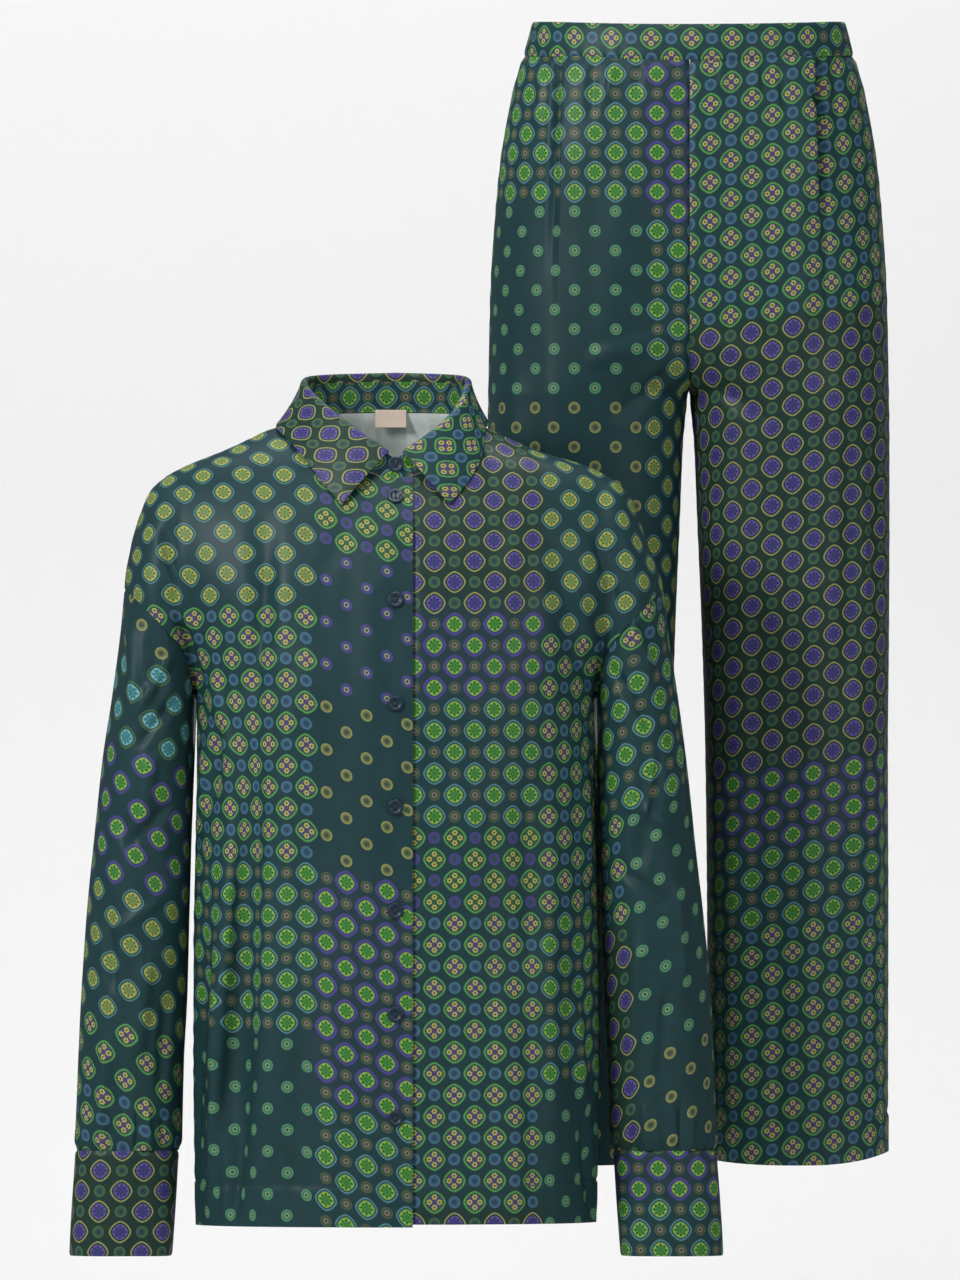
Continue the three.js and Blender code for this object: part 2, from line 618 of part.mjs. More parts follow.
// Angles round the neck of the panels' own columns, from the lower front edge round to the upper one.
function neckStops() {
  const half = [];
  for (let i = 0; i <= FRONT_NECK_COLUMNS; i += 1) half.push(mix(-OVERLAP_ANGLE, 90, i / FRONT_NECK_COLUMNS));
  for (let i = 1; i < BACK_NECK_COLUMNS; i += 1) half.push(mix(90, 180, i / BACK_NECK_COLUMNS));
  return [...half, 180, ...half.map((angle) => 360 - angle).reverse()];
}

// A place on the collar at an angle round the neck and a height above the neck seam, drawn in as it rises.
function collarPoint(angle, height, outwards = 0) {
  const seam = neckSeam(angle);
  const drawn = 1 - STAND_DRAW_IN * height;
  const point = leaned(seam.x, seam.y, seam.z);
  const away = new THREE.Vector3(seam.x, seam.y, 0).normalize();
  point.x += seam.x * (drawn - 1);
  point.y = seam.y * drawn + Math.sign(seam.y) * SIDE_SEAM_HALF_GAP - (angle > 270 ? overlapLift(seam.x) : 0);
  point.z += height;
  return point.addScaledVector(away, outwards);
}

const foldAngle = (angle) => Math.abs(((angle + 180) % 360) - 180);
const rollHeight = (angle) => read(ROLL, 'angle', 'z', foldAngle(angle)) - neckSeam(angle).z;
const pastMiddle = (angle) => angle < 0 || angle > 360;
const standHeight = (angle) => (
  pastMiddle(angle) ? STAND_END_HEIGHT : rollHeight(angle) - read(ROLL, 'angle', 'seam', foldAngle(angle))
);

// Collar stand: a band round the neck whose wearer's right end buttons over the left one.
function collarStand(name) {
  const rows = [0, 0.5, 1].map((share) => neckStops().map((angle) => (
    collarPoint(angle, mix(STAND_FOOT_GAP, standHeight(angle), share))
  )));
  const outward = new THREE.Vector3(0, 1, 0);
  return clothSolid(name, rows, { wall: CLOTH, outward, colour: SATIN_GREEN }).mesh;
}

// Turned-down part of the collar: up from the stand, over the roll, and down to its outer edge and points.
function collarFall(name) {
  const stops = neckStops().slice(1, -1);
  const halved = stops.flatMap((angle, i) => (i ? [(angle + stops[i - 1]) / 2, angle] : [angle]));
  const columns = halved.map((angle) => {
    const side = angle <= 180 ? 1 : -1;
    const way = (foldAngle(angle) - stops[0]) / (180 - stops[0]);
    const edgeX = side * read(FALL_EDGE, 'way', 'x', way);
    const edgeZ = read(FALL_EDGE, 'way', 'z', way);
    const face = read(FALL_EDGE, 'way', 'face', way);
    const depth = shirtDepth(edgeX, edgeZ - FALL_ABOVE, face) + FALL_AHEAD;
    const edge = leaned(edgeX, face * depth, edgeZ);
    const rise = standHeight(angle);
    const top = rollHeight(angle);
    const foot = collarPoint(angle, rise + FALL_FOOT_GAP, -CLOTH);
    const inside = collarPoint(angle, mix(rise, top, ROLL_INSIDE.way), ROLL_INSIDE.outwards - CLOTH);
    const crest = collarPoint(angle, top, ROLL_RADIUS - CLOTH);
    const outside = collarPoint(angle, mix(rise, top, ROLL_OUTSIDE_WAY), ROLL_RADIUS * 2 - CLOTH);
    const away = new THREE.Vector3(crest.x, crest.y, 0).normalize();
    const bend = outside.clone().lerp(edge, 0.5).addScaledVector(away, FALL_BULGE);
    const curve = new THREE.QuadraticBezierCurve3(outside, bend, edge);
    return [foot, inside, crest, ...curve.getPoints(FALL_ROWS)];
  });
  const rows = columns[0].map((_, r) => columns.map((line) => line[r]));
  const outward = new THREE.Vector3(0, 1, 0);
  return clothSolid(name, rows, { wall: COLLAR_CLOTH, outward, colour: SATIN_GREEN }).mesh;
}

// Blank label that hangs inside the back of the neck and follows its curve.
function neckLabel(name) {
  const rows = [0, 1].map((down) => {
    const line = [];
    for (let k = 0; k <= LABEL.columns; k += 1) {
      const x = LABEL.x + LABEL.width * (k / LABEL.columns - 0.5);
      const y = roundDepth(x, NECK_HALF, NECK_BACK_Y, 2) - CLOTH - LABEL.clear - LABEL.thickness;
      line.push(new THREE.Vector3(x, y, LABEL.top - down * LABEL.height));
    }
    return line;
  });
  const outward = new THREE.Vector3(0, -1, 0);
  return clothSolid(name, rows, { wall: LABEL.thickness, outward, colour: LABEL_PEACH }).mesh;
}

// Sew-on button with a raised rim round a shallow well, its back on the cloth at the given place.
function button(name, place, tilt) {
  const radius = BUTTON_DIAMETER / 2;
  const well = BUTTON_WELL_DIAMETER / 2;
  const profile = [
    new THREE.Vector2(0, 0),
    new THREE.Vector2(radius * BUTTON_FLAT_SHARE, 0),
    new THREE.Vector2(radius, BUTTON_THICKNESS / 2),
    new THREE.Vector2(radius * BUTTON_FLAT_SHARE, BUTTON_THICKNESS),
    new THREE.Vector2(well + BUTTON_WELL_SLOPE, BUTTON_THICKNESS),
    new THREE.Vector2(well, BUTTON_THICKNESS - BUTTON_WELL_DEPTH),
    new THREE.Vector2(0, BUTTON_THICKNESS - BUTTON_WELL_DEPTH),
  ];
  const geometry = new THREE.LatheGeometry(profile, BUTTON_SIDES);
  const material = new THREE.MeshStandardMaterial({ color: BUTTON_TEAL, roughness: 0.3, metalness: 0 });
  const mesh = new THREE.Mesh(geometry, material);
  mesh.rotation.x = Math.PI - tilt;
  mesh.position.copy(place);
  mesh.name = name;
  return mesh;
}

// Buttons down the front, the first on the collar stand.
function buttons() {
  const group = new THREE.Group();
  for (let i = 0; i < BUTTON_COUNT; i += 1) {
    const onCollar = i === 0;
    const z = onCollar ? COLLAR_BUTTON_Z : FIRST_FRONT_BUTTON_Z - (i - 1) * BUTTON_PITCH;
    const frontAt = (height) => {
      if (onCollar) return collarPoint(360, height - NECK_FRONT_Z).y;
      return -(foldedDepth(0, height, -1) + SIDE_SEAM_HALF_GAP + OVERLAP_LIFT);
    };
    const reach = BUTTON_DIAMETER / 2;
    const slope = (frontAt(z + reach) - frontAt(z - reach)) / (2 * reach);
    const place = new THREE.Vector3(0, frontAt(z) - SEAM_GAP, z);
    group.add(button(`button_${i + 1}`, place, Math.atan(slope)));
  }
  return group;
}

// Height at which the trousers' hem lies at an angle round the leg, 0 at the outside and pi at the inside.
function hemHeight(angle, face) {
  const out = Math.cos(angle);
  const rise = out > 0 ? HEM_RISE_OUTSIDE * out ** 2 : HEM_RISE_INSIDE * out ** 2;
  return TROUSER_HEM_Z + rise + (face > 0 ? HEM_RISE_BACK * Math.sin(angle) : 0);
}

// Section of one trouser leg at a height: above the crotch it widens until the two legs make one hip.
function legSection(z) {
  const half = read(TROUSERS, 'z', 'half', z);
  const inner = read(TROUSERS, 'z', 'inner', z);
  const joined = z > CROTCH_Z ? smooth((z - CROTCH_Z) / (WAIST_Z - CROTCH_Z) / HIP_JOIN_SHARE) : 0;
  const legHalf = (half - inner) / 2;
  const radius = mix(legHalf, half, Math.sqrt(joined));
  return { centre: half - radius, radius, square: read(TROUSERS, 'z', 'square', z), half };
}

const legShare = (out, square) => Math.sign(out) * Math.abs(out) ** (2 / square);

// Angle on a leg's section at which it stands at x.
function legAngle(section, x) {
  const share = THREE.MathUtils.clamp((x - section.centre) / section.radius, -1, 1);
  return Math.acos(Math.sign(share) * Math.abs(share) ** (section.square / 2));
}

function legPoint(section, z, angle, face) {
  const x = section.centre + section.radius * legShare(Math.cos(angle), section.square);
  const depth = read(TROUSERS, 'z', face < 0 ? 'front' : 'back', z);
  return { x, depth: depth * legShare(Math.sin(angle), section.square), z };
}

// Rise of the cloth towards the pleat's edge on the side of the middle, with a step down beyond it.
function pleatHeight(x, z) {
  const line = read(PLEAT_LINE, 'z', 'x', z);
  const strength = smooth((z - PLEAT_END_Z) / (PLEAT_LINE[0].z - PLEAT_END_Z) / PLEAT_FADE_SHARE);
  const inside = line - x;
  if (inside < 0) return 0;
  return PLEAT_STEP * strength * smooth(1 - inside / PLEAT_SWELL);
}

// Angles of a leg panel's columns on one section, with a close pair at the pleat.
function legColumns(section, z) {
  const start = section.centre - section.radius < 0 ? legAngle(section, 0) : Math.PI;
  const pleatX = read(PLEAT_LINE, 'z', 'x', z);
  const before = legAngle(section, pleatX - PLEAT_HALF_WIDTH);
  const after = legAngle(section, pleatX + PLEAT_HALF_WIDTH);
  const angles = [];
  for (let k = 0; k <= LEG_COLUMNS; k += 1) {
    const inside = mix(start, before, k / PLEAT_COLUMN);
    const outside = mix(after, 0, (k - PLEAT_COLUMN - 1) / (LEG_COLUMNS - PLEAT_COLUMN - 1));
    angles.push(k <= PLEAT_COLUMN ? inside : outside);
  }
  return angles;
}

// One leg panel from the waistband seam to the hem; side is 1 for the wearer's left leg.
function legPanel(name, side, face) {
  const rows = [];
  const bandSeam = WAIST_Z - WAISTBAND_HEIGHT - SEAM_GAP;
  for (let r = 0; r <= HIP_ROWS + LEG_ROWS; r += 1) {
    const level = r <= HIP_ROWS
      ? mix(bandSeam, CROTCH_Z, r / HIP_ROWS)
      : mix(CROTCH_Z, TROUSER_HEM_Z, (r - HIP_ROWS) / LEG_ROWS);
    const hemShare = Math.max(0, (CROTCH_Z - level) / (CROTCH_Z - TROUSER_HEM_Z));
    const seamShare = Math.max(0, 1 - (bandSeam - level) / SEAM_DIP_FADE);
    const section = legSection(level);
    rows.push(legColumns(section, level).map((angle) => {
      const flat = legPoint(section, level, angle, face);
      const dip = -SEAM_DIP * seamShare * Math.max(0, 1 - (flat.x / section.half) ** 2);
      const hem = (hemHeight(angle, face) - TROUSER_HEM_Z) * hemShare ** 2;
      const pleat = face < 0 ? pleatHeight(flat.x, level) : 0;
      const fold = foldHeight(LEG_FOLDS, face, side * flat.x, level) + pleat;
      const depth = flat.depth + fold * Math.min(1, flat.depth / FOLD_FULL_DEPTH) + SIDE_SEAM_HALF_GAP;
      return new THREE.Vector3(side * (flat.x + SIDE_SEAM_HALF_GAP), face * depth, level + dip + hem);
    }));
  }
  const last = rows[0].length - 1;
  const fixNormal = (n, r, k) => {
    if (k === last) n.y = 0;
    if (k === 0 && r < HIP_ROWS) n.x = 0;
    if (k === 0 && r > HIP_ROWS) n.y = 0;
    if (k === 0 && r === HIP_ROWS) n.set(0, 0, -1);
  };
  const outward = new THREE.Vector3(side, face, 0);
  return clothSolid(name, rows, { wall: CLOTH, outward, fixNormal, colour: SATIN_GREEN }).mesh;
}

// Front or back half of the waistband, from side seam to side seam.
function waistband(name, face) {
  const columns = WAISTBAND_COLUMNS;
  const rows = [0, 0.5, 1].map((down) => {
    const level = WAIST_Z - down * WAISTBAND_HEIGHT;
    const half = read(TROUSERS, 'z', 'half', level) + SIDE_SEAM_HALF_GAP;
    const depth = read(TROUSERS, 'z', face < 0 ? 'front' : 'back', level) + SIDE_SEAM_HALF_GAP;
    const square = read(TROUSERS, 'z', 'square', level);
    const line = [];
    for (let k = 0; k <= columns; k += 1) {
      const angle = Math.PI * (1 - k / columns);
      const x = half * legShare(Math.cos(angle), square);
      const dip = -mix(WAIST_DIP, SEAM_DIP, down) * Math.max(0, 1 - (x / half) ** 2);
      const y = face * (depth * legShare(Math.sin(angle), square) + SIDE_SEAM_HALF_GAP);
      line.push(new THREE.Vector3(x, y, level + dip));
    }
    return line;
  });
  const fixNormal = (n, r, k) => {
    if (k === 0 || k === columns) n.y = 0;
  };
  const outward = new THREE.Vector3(0, face, 0);
  return clothSolid(name, rows, { wall: BAND_CLOTH, outward, fixNormal, colour: SATIN_GREEN }).mesh;
}

function shirt() {
  const group = new THREE.Group();
  const right = shirtFront('shirt_front_right', -1);
  const left = shirtFront('shirt_front_left', 1);
  const back = shirtBack('shirt_back');
  group.add(right.mesh, left.mesh, back.mesh);
  const rightRing = armholeRing(right, back, -1);
  const leftRing = armholeRing(left, back, 1);
  group.add(sleeve('sleeve_right', -1, rightRing), sleeve('sleeve_left', 1, leftRing));
  group.add(cuff('cuff_right', -1, rightRing.length), cuff('cuff_left', 1, leftRing.length));
  group.add(collarStand('collar_stand'), collarFall('collar_fall'), neckLabel('neck_label'));
  group.add(buttons());
  return group;
}

function trousers() {
  const group = new THREE.Group();
  group.add(legPanel('trouser_front_right', -1, -1), legPanel('trouser_front_left', 1, -1));
  group.add(legPanel('trouser_back_right', -1, 1), legPanel('trouser_back_left', 1, 1));
  group.add(waistband('waistband_front', -1), waistband('waistband_back', 1));
  group.position.set(TROUSERS_PLACE.x, TROUSERS_PLACE.y, 0);
  return group;
}

const set = new THREE.Group();
set.add(shirt(), trousers());

export default set;
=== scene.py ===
# %% [markdown]
# # A pyjama set in printed satin
# This lesson dresses a plain solid model of a pyjama set: a buttoned shirt and wide trousers.
# The solid model gives the true sizes. Here each piece of cloth is made again as a fine thin shell
# with soft creases, sewn edges and a printed satin finish.

# %% Load the solid model
import math

import bpy
import numpy as np
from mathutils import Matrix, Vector


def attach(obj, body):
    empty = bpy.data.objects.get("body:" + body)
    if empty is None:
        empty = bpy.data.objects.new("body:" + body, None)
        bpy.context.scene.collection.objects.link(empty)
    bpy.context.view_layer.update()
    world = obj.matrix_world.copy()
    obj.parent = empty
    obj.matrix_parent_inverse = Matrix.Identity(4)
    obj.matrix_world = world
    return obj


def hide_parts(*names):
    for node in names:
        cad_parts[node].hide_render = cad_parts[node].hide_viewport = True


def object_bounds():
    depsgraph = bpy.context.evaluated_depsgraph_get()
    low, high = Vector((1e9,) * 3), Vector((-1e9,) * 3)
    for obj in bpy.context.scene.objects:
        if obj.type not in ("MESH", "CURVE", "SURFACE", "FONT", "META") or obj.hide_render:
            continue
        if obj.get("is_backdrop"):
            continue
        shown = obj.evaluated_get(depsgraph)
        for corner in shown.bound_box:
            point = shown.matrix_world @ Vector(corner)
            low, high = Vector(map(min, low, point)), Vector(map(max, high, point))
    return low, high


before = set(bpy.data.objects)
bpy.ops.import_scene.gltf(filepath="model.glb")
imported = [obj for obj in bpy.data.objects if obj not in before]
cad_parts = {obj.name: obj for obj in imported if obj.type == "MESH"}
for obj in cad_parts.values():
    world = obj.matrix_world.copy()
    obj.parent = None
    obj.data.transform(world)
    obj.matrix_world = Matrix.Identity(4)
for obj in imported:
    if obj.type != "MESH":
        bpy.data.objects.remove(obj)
cad_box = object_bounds()
print("nodes to dress:", len(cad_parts))

# %% [markdown]
# ## Camera
# A garment is shown best through a long lens from far away, because then both sides of the shirt
# look alike. The lens length follows from the height that the picture has to cover at the garment.

# %% Camera
PICTURE_HEIGHT = 1.1648
CAMERA_DISTANCE = 20.0
SENSOR_HEIGHT = 0.024

camera_data = bpy.data.cameras.new("studio_camera")
camera_data.sensor_fit = "VERTICAL"
camera_data.sensor_height = SENSOR_HEIGHT * 1000
camera_data.lens = SENSOR_HEIGHT * 1000 * CAMERA_DISTANCE / PICTURE_HEIGHT
camera_data.clip_end = 60
camera = bpy.data.objects.new("studio_camera", camera_data)
camera.location = (0.0764, -CAMERA_DISTANCE, -0.182)
camera.rotation_euler = (math.radians(90), 0, 0)
bpy.context.scene.collection.objects.link(camera)
bpy.context.scene.camera = camera
print("lens in mm:", round(camera_data.lens, 1))

# %% [markdown]
# ## Floor, backdrop and lights
# The room is one pale sheet that curves up behind the garment, as in a photo studio, so that no line
# shows where floor meets wall. Satin needs large lights: their wide reflections make its soft sheen.
# A big light stands high in front, a weaker one fills from the other side, one shines into the neck, one
# lights the wall, and a dim sky fills the shadows.

# %% Floor and backdrop
FLOOR_Z = -0.93
BACKDROP_Y = 2.2
BEND = 0.9


def make_material(name, colour, roughness):
    """A plain one-colour material, for things that only need to be pale or dark."""
    material = bpy.data.materials.new(name)
    material.use_nodes = True
    shader = material.node_tree.nodes["Principled BSDF"]
    shader.inputs["Base Color"].default_value = (*colour, 1)
    shader.inputs["Roughness"].default_value = roughness
    return material


def clear_from_behind(material):
    """Lets a view from behind the sheet look through it, while its front stays solid paper."""
    nodes, links = material.node_tree.nodes, material.node_tree.links
    pick = nodes.new("ShaderNodeMixShader")
    links.new(nodes.new("ShaderNodeNewGeometry").outputs["Backfacing"], pick.inputs[0])
    links.new(nodes["Principled BSDF"].outputs[0], pick.inputs[1])
    links.new(nodes.new("ShaderNodeBsdfTransparent").outputs[0], pick.inputs[2])
    links.new(pick.outputs[0], nodes["Material Output"].inputs["Surface"])


def backdrop_profile():
    """Side view of the sheet: floor, a round bend, then the wall."""
    points = [(-30.0, FLOOR_Z)]
    for step in range(17):
        angle = math.radians(90 * step / 16)
        points.append((BACKDROP_Y - BEND + BEND * math.sin(angle), FLOOR_Z + BEND - BEND * math.cos(angle)))
    points.append((BACKDROP_Y, 9.0))
    return points


profile = backdrop_profile()
vertices = [(x, y, z) for y, z in profile for x in (-14.0, 14.0)]
faces = [(2 * i, 2 * i + 1, 2 * i + 3, 2 * i + 2) for i in range(len(profile) - 1)]
backdrop_mesh = bpy.data.meshes.new("studio_sheet")
backdrop_mesh.from_pydata(vertices, [], faces)
backdrop_mesh.polygons.foreach_set("use_smooth", [True] * len(faces))
backdrop = bpy.data.objects.new("studio_sheet", backdrop_mesh)
backdrop_mesh.materials.append(make_material("studio_paper", (0.88, 0.88, 0.875), 0.9))
clear_from_behind(backdrop_mesh.materials[0])
bpy.context.scene.collection.objects.link(backdrop)
backdrop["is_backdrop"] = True
backdrop.visible_glossy = False  # its glare would pale the edges of the dark satin

# %% Lights
LIGHTS = [
    # name, place, aim, size in metres, power in watts
    ("key_light", (-2.5, -2.8, 1.7), (0.1, 0, -0.2), 1.1, 88),
    ("fill_light", (2.6, -3.2, 0.8), (0.1, 0, -0.3), 1.6, 20),
    ("top_light", (0.0, -2.2, 2.7), (0.0, 0, 0.0), 0.8, 24),
    ("wall_light", (0.1, 0.6, 3.2), (0.1, 2.2, -0.7), 2.4, 80),
]
for name, place, aim_at, size, power in LIGHTS:
    light_data = bpy.data.lights.new(name, "AREA")
    light_data.shape = "DISK"
    light_data.size = size
    light_data.energy = power
    light = bpy.data.objects.new(name, light_data)
    light.location = place
    aim = Vector(aim_at) - Vector(place)
    light.rotation_euler = aim.to_track_quat("-Z", "Y").to_euler()
    bpy.context.scene.collection.objects.link(light)

neck_data = bpy.data.lights.new("neck_light", "SPOT")
neck_data.energy, neck_data.shadow_soft_size = 46, 0.12
neck_data.spot_size, neck_data.spot_blend = math.radians(4.2), 0.6
neck_light = bpy.data.objects.new("neck_light", neck_data)
neck_light.location = (-0.1, -1.5, 1.2)
neck_light.rotation_euler = (Vector((-0.005, 0.05, 0.0)) - neck_light.location).to_track_quat("-Z", "Y").to_euler()
bpy.context.scene.collection.objects.link(neck_light)

sky = bpy.data.worlds.new("studio_sky")
sky.use_nodes = True
sky.node_tree.nodes["Background"].inputs["Color"].default_value = (0.95, 0.97, 1.0, 1)
sky.node_tree.nodes["Background"].inputs["Strength"].default_value = 0.14
bpy.context.scene.world = sky
bpy.context.scene.view_settings.view_transform = "Standard"
print("lights:", len(LIGHTS) + 1)

# %% [markdown]
# ## Tables and smooth curves
# A pattern cutter writes a garment down as a few sizes at a few heights. The tables below do the same,
# in millimetres, and a smooth curve runs through their rows. The curve never swings past a row, so a
# size between two rows is always between their two values.

# %% Tables


def table(columns, rows):
    """Turns rows of numbers into named columns."""
    return {name: np.array([row[i] for row in rows], float) for i, name in enumerate(columns.split())}


def read(rows, key, column, place):
    """Smooth value of one column at the given places."""
    stops, values = rows[key], rows[column]
    if stops[0] > stops[-1]:
        stops, values = stops[::-1], values[::-1]
    slope = np.diff(values) / np.diff(stops)
    both = slope[:-1] + slope[1:]
    same_way = slope[:-1] * slope[1:] > 0
    inner = np.where(same_way, 2 * slope[:-1] * slope[1:] / np.where(same_way, both, 1), 0)
    tangent = np.concatenate([slope[:1], inner, slope[-1:]])
    at = np.clip(place, stops[0], stops[-1])
    i = np.clip(np.searchsorted(stops, at, side="right") - 1, 0, len(stops) - 2)
    span = stops[i + 1] - stops[i]
    t = (at - stops[i]) / span
    start = values[i] * (1 + 2 * t) * (1 - t) ** 2 + tangent[i] * span * t * (1 - t) ** 2
    return start + values[i + 1] * t * t * (3 - 2 * t) + tangent[i + 1] * span * t * t * (t - 1)


def mix(a, b, t):
    """A value on the way from a to b."""
    return a + (b - a) * t


def smooth(t):
    """0 below 0, 1 above 1, and a soft step between."""
    t = np.clip(t, 0, 1)
    return t * t * (3 - 2 * t)


def super_depth(x, half, depth, squareness):
    """Distance of a rounded section from its long axis at x."""
    share = np.minimum(np.abs(x) / half, 1)
    return depth * (1 - share ** squareness) ** (1 / squareness)


OUTLINE = table("z half lean", [
    (30, 74, -9), (22, 75, -9), (7, 106, -15), (-9, 141, -14), (-24, 183, -9), (-34, 202, -8),
    (-46, 216, -7), (-64, 225, -6.5), (-84, 231.5, -6.5), (-105, 238, -5), (-135, 246, -2),
    (-170, 249.5, -1.5), (-236, 258, -1), (-291, 265.7, -1.5), (-373, 274.4, -1.5),
    (-428, 280.3, -1), (-510, 286.8, 0), (-646, 292.5, 0),
])
BODY_DEPTH = table("z front back", [
    (26, 10, 56), (22, 14, 58), (5, 32, 66), (-10, 47, 73), (-35, 63, 84), (-80, 84, 97),
    (-150, 103, 104), (-250, 116, 102), (-400, 114, 99), (-600, 116, 104), (-715, 118, 108),
])
BODY_WIDTH = table("z half", [
    (-236, 182), (-291, 181.6), (-373, 183), (-455, 185), (-565, 185.6), (-646, 184.7), (-715, 182.6),
])
ARMHOLE = table("z x", [
    (-135, 246), (-152, 228), (-167, 213), (-179, 202), (-190, 192), (-211, 185.2), (-236, 182),
])
SLEEVE = table("z inner depth", [
    (-30, 180, 10), (-55, 180, 36), (-80, 180, 46), (-110, 180, 52), (-135, 180, 56),
    (-176, 180.6, 57), (-236, 182.4, 57), (-291, 183.6, 56), (-373, 185.6, 54), (-455, 188.2, 51),
    (-510, 190, 49), (-565, 192.9, 46), (-646, 194.7, 41),
])
CUFF = table("z centre half depth", [(-646, 244.7, 46.6, 37), (-742, 250, 46.6, 34)])

# %% [markdown]
# ## Creases
# Cloth that hangs from the shoulders is never smooth. Each crease here is a soft ridge or trough
# between two places of the cloth, with its own length, width and height. The list starts with the
# large folds that the solid model has too, then adds finer ones, uneven as real ones are. The hidden
# sides get creases of the same kind.

# %% Creases of the shirt and sleeves
FRONT, BACK = -1, 1
CREASE_GAIN = 1.6
SLEEVE_GAIN = 2.0
FOLD_COLUMNS = "face x1 z1 x2 z2 width height"
SHIRT_FOLDS = table(FOLD_COLUMNS, [
    (FRONT, -146, -330, -174, -660, 19, 8), (FRONT, -126, -300, -150, -640, 20, -5),
    (FRONT, -104, -420, -128, -712, 22, 3.5), (FRONT, -117, -70, -119, -190, 20, -4),
    (FRONT, 150, -90, 166, -250, 22, -5), (FRONT, 160, -420, 168, -620, 20, -5),
    (FRONT, 138, -380, 148, -712, 22, 4), (BACK, -96, -150, -118, -690, 26, 5),
    (BACK, -136, -260, -146, -650, 22, -6), (BACK, 108, -190, 126, -712, 26, 5),
    (BACK, 142, -300, 150, -600, 20, -6), (BACK, 18, -260, 8, -690, 34, -4),
])
SHIRT_CREASES = table(FOLD_COLUMNS, [
    # the long fold down the wearer's right side, with its sharp crest
    (FRONT, -150, -380, -172, -700, 13, 4.6), (FRONT, -170, -440, -189, -700, 10, -3.4),
    (FRONT, -126, -190, -148, -706, 22, -5.0),
    # behind the wearer's left side seam, where the back swells towards the sleeve
    (BACK, 176.5, -236, 177, -640, 11, 6.0),
    # from the wearer's right underarm down the side
    (FRONT, -196, -150, -206, -84, 7, -2.6), (FRONT, -184, -178, -204, -118, 8, 2.4),
    (FRONT, -176, -226, -196, -160, 7, -3.0), (FRONT, -168, -206, -150, -296, 10, 2.4),
    (FRONT, -158, -250, -166, -330, 9, -3.2), (FRONT, -172, -270, -178, -360, 6, 2.2),
    (FRONT, -168, -560, -178, -706, 8, -3.4), (FRONT, -157, -600, -152, -712, 9, 2.6),
    (FRONT, -140, -596, -146, -712, 8, -2.2), (FRONT, -152, -410, -160, -500, 7, -1.6),
    # chest and front, wearer's right
    (FRONT, -92, -110, -84, -260, 30, 0.9), (FRONT, -60, -230, -72, -420, 34, -1.4),
    (FRONT, -116, -104, -128, -236, 13, -2.2), (FRONT, -102, -120, -108, -210, 18, 0.8),
    (FRONT, -44, -440, -58, -690, 28, 1.6), (FRONT, -84, -500, -92, -712, 16, -1.8),
    (FRONT, -40, -64, -62, -116, 14, -0.8),
    # chest and front, wearer's left
    (FRONT, 200, -150, 186, -92, 8, -2.4), (FRONT, 186, -196, 160, -132, 9, 2.2),
    (FRONT, 178, -224, 156, -190, 6, -2.0), (FRONT, 172, -300, 176, -400, 8, 2.2),
    (FRONT, 162, -500, 170, -600, 8, 2.6), (FRONT, 118, -300, 128, -470, 24, -2.0),
    (FRONT, 96, -470, 110, -712, 20, 2.2), (FRONT, 64, -280, 76, -520, 26, 1.7),
    (FRONT, 44, -520, 56, -712, 20, -1.8), (FRONT, 110, -90, 96, -170, 18, 1.6),
    (FRONT, 168, -610, 178, -712, 8, -2.4),
    # down the button edge, where each button holds the cloth
    (FRONT, -6, -70, -10, -128, 16, 0.8), (FRONT, -8, -170, -2, -224, 15, -0.8),
    (FRONT, 4, -262, -4, -318, 16, 0.9), (FRONT, -6, -360, 2, -410, 15, -0.7),
    (FRONT, 2, -452, -6, -508, 15, 0.8), (FRONT, -4, -548, 0, -600, 15, -0.8),
    # back
    (BACK, -198, -150, -186, -90, 9, -2.4), (BACK, -178, -226, -150, -170, 9, 2.6),
    (BACK, -166, -210, -120, -290, 10, -2.4), (BACK, -160, -330, -168, -450, 9, 2.6),
    (BACK, 196, -150, 184, -92, 9, -2.2), (BACK, 180, -220, 150, -160, 9, 2.4),
    (BACK, 170, -230, 128, -300, 11, -2.6), (BACK, 168, -420, 160, -540, 9, 2.4),
    (BACK, 62, -120, 70, -330, 26, 2.0), (BACK, -52, -140, -64, -400, 28, 2.0),
    (BACK, 40, -420, 52, -712, 22, 2.2), (BACK, -36, -380, -46, -712, 24, -2.0),
    (BACK, 84, -480, 96, -712, 18, -2.4), (BACK, -84, -520, -92, -712, 18, 2.2),
    (BACK, -170, -560, -176, -712, 9, -2.8), (BACK, 168, -600, 174, -712, 9, 2.4),
    (BACK, 0, -70, 4, -150, 30, -1.2),
])
SLEEVE_FOLDS = table(FOLD_COLUMNS, [
    (FRONT, -228, -150, -214, -225, 12, -5), (FRONT, -252, -340, -212, -400, 16, -4),
    (FRONT, 238, -270, 222, -390, 14, -5), (FRONT, 226, -170, 246, -215, 12, -4),
    (BACK, -236, -300, -222, -470, 18, -6), (BACK, 234, -320, 224, -450, 18, -6),
    (FRONT, -252, -560, -246, -650, 12, -4), (FRONT, 240, -570, 246, -650, 12, -4),
])
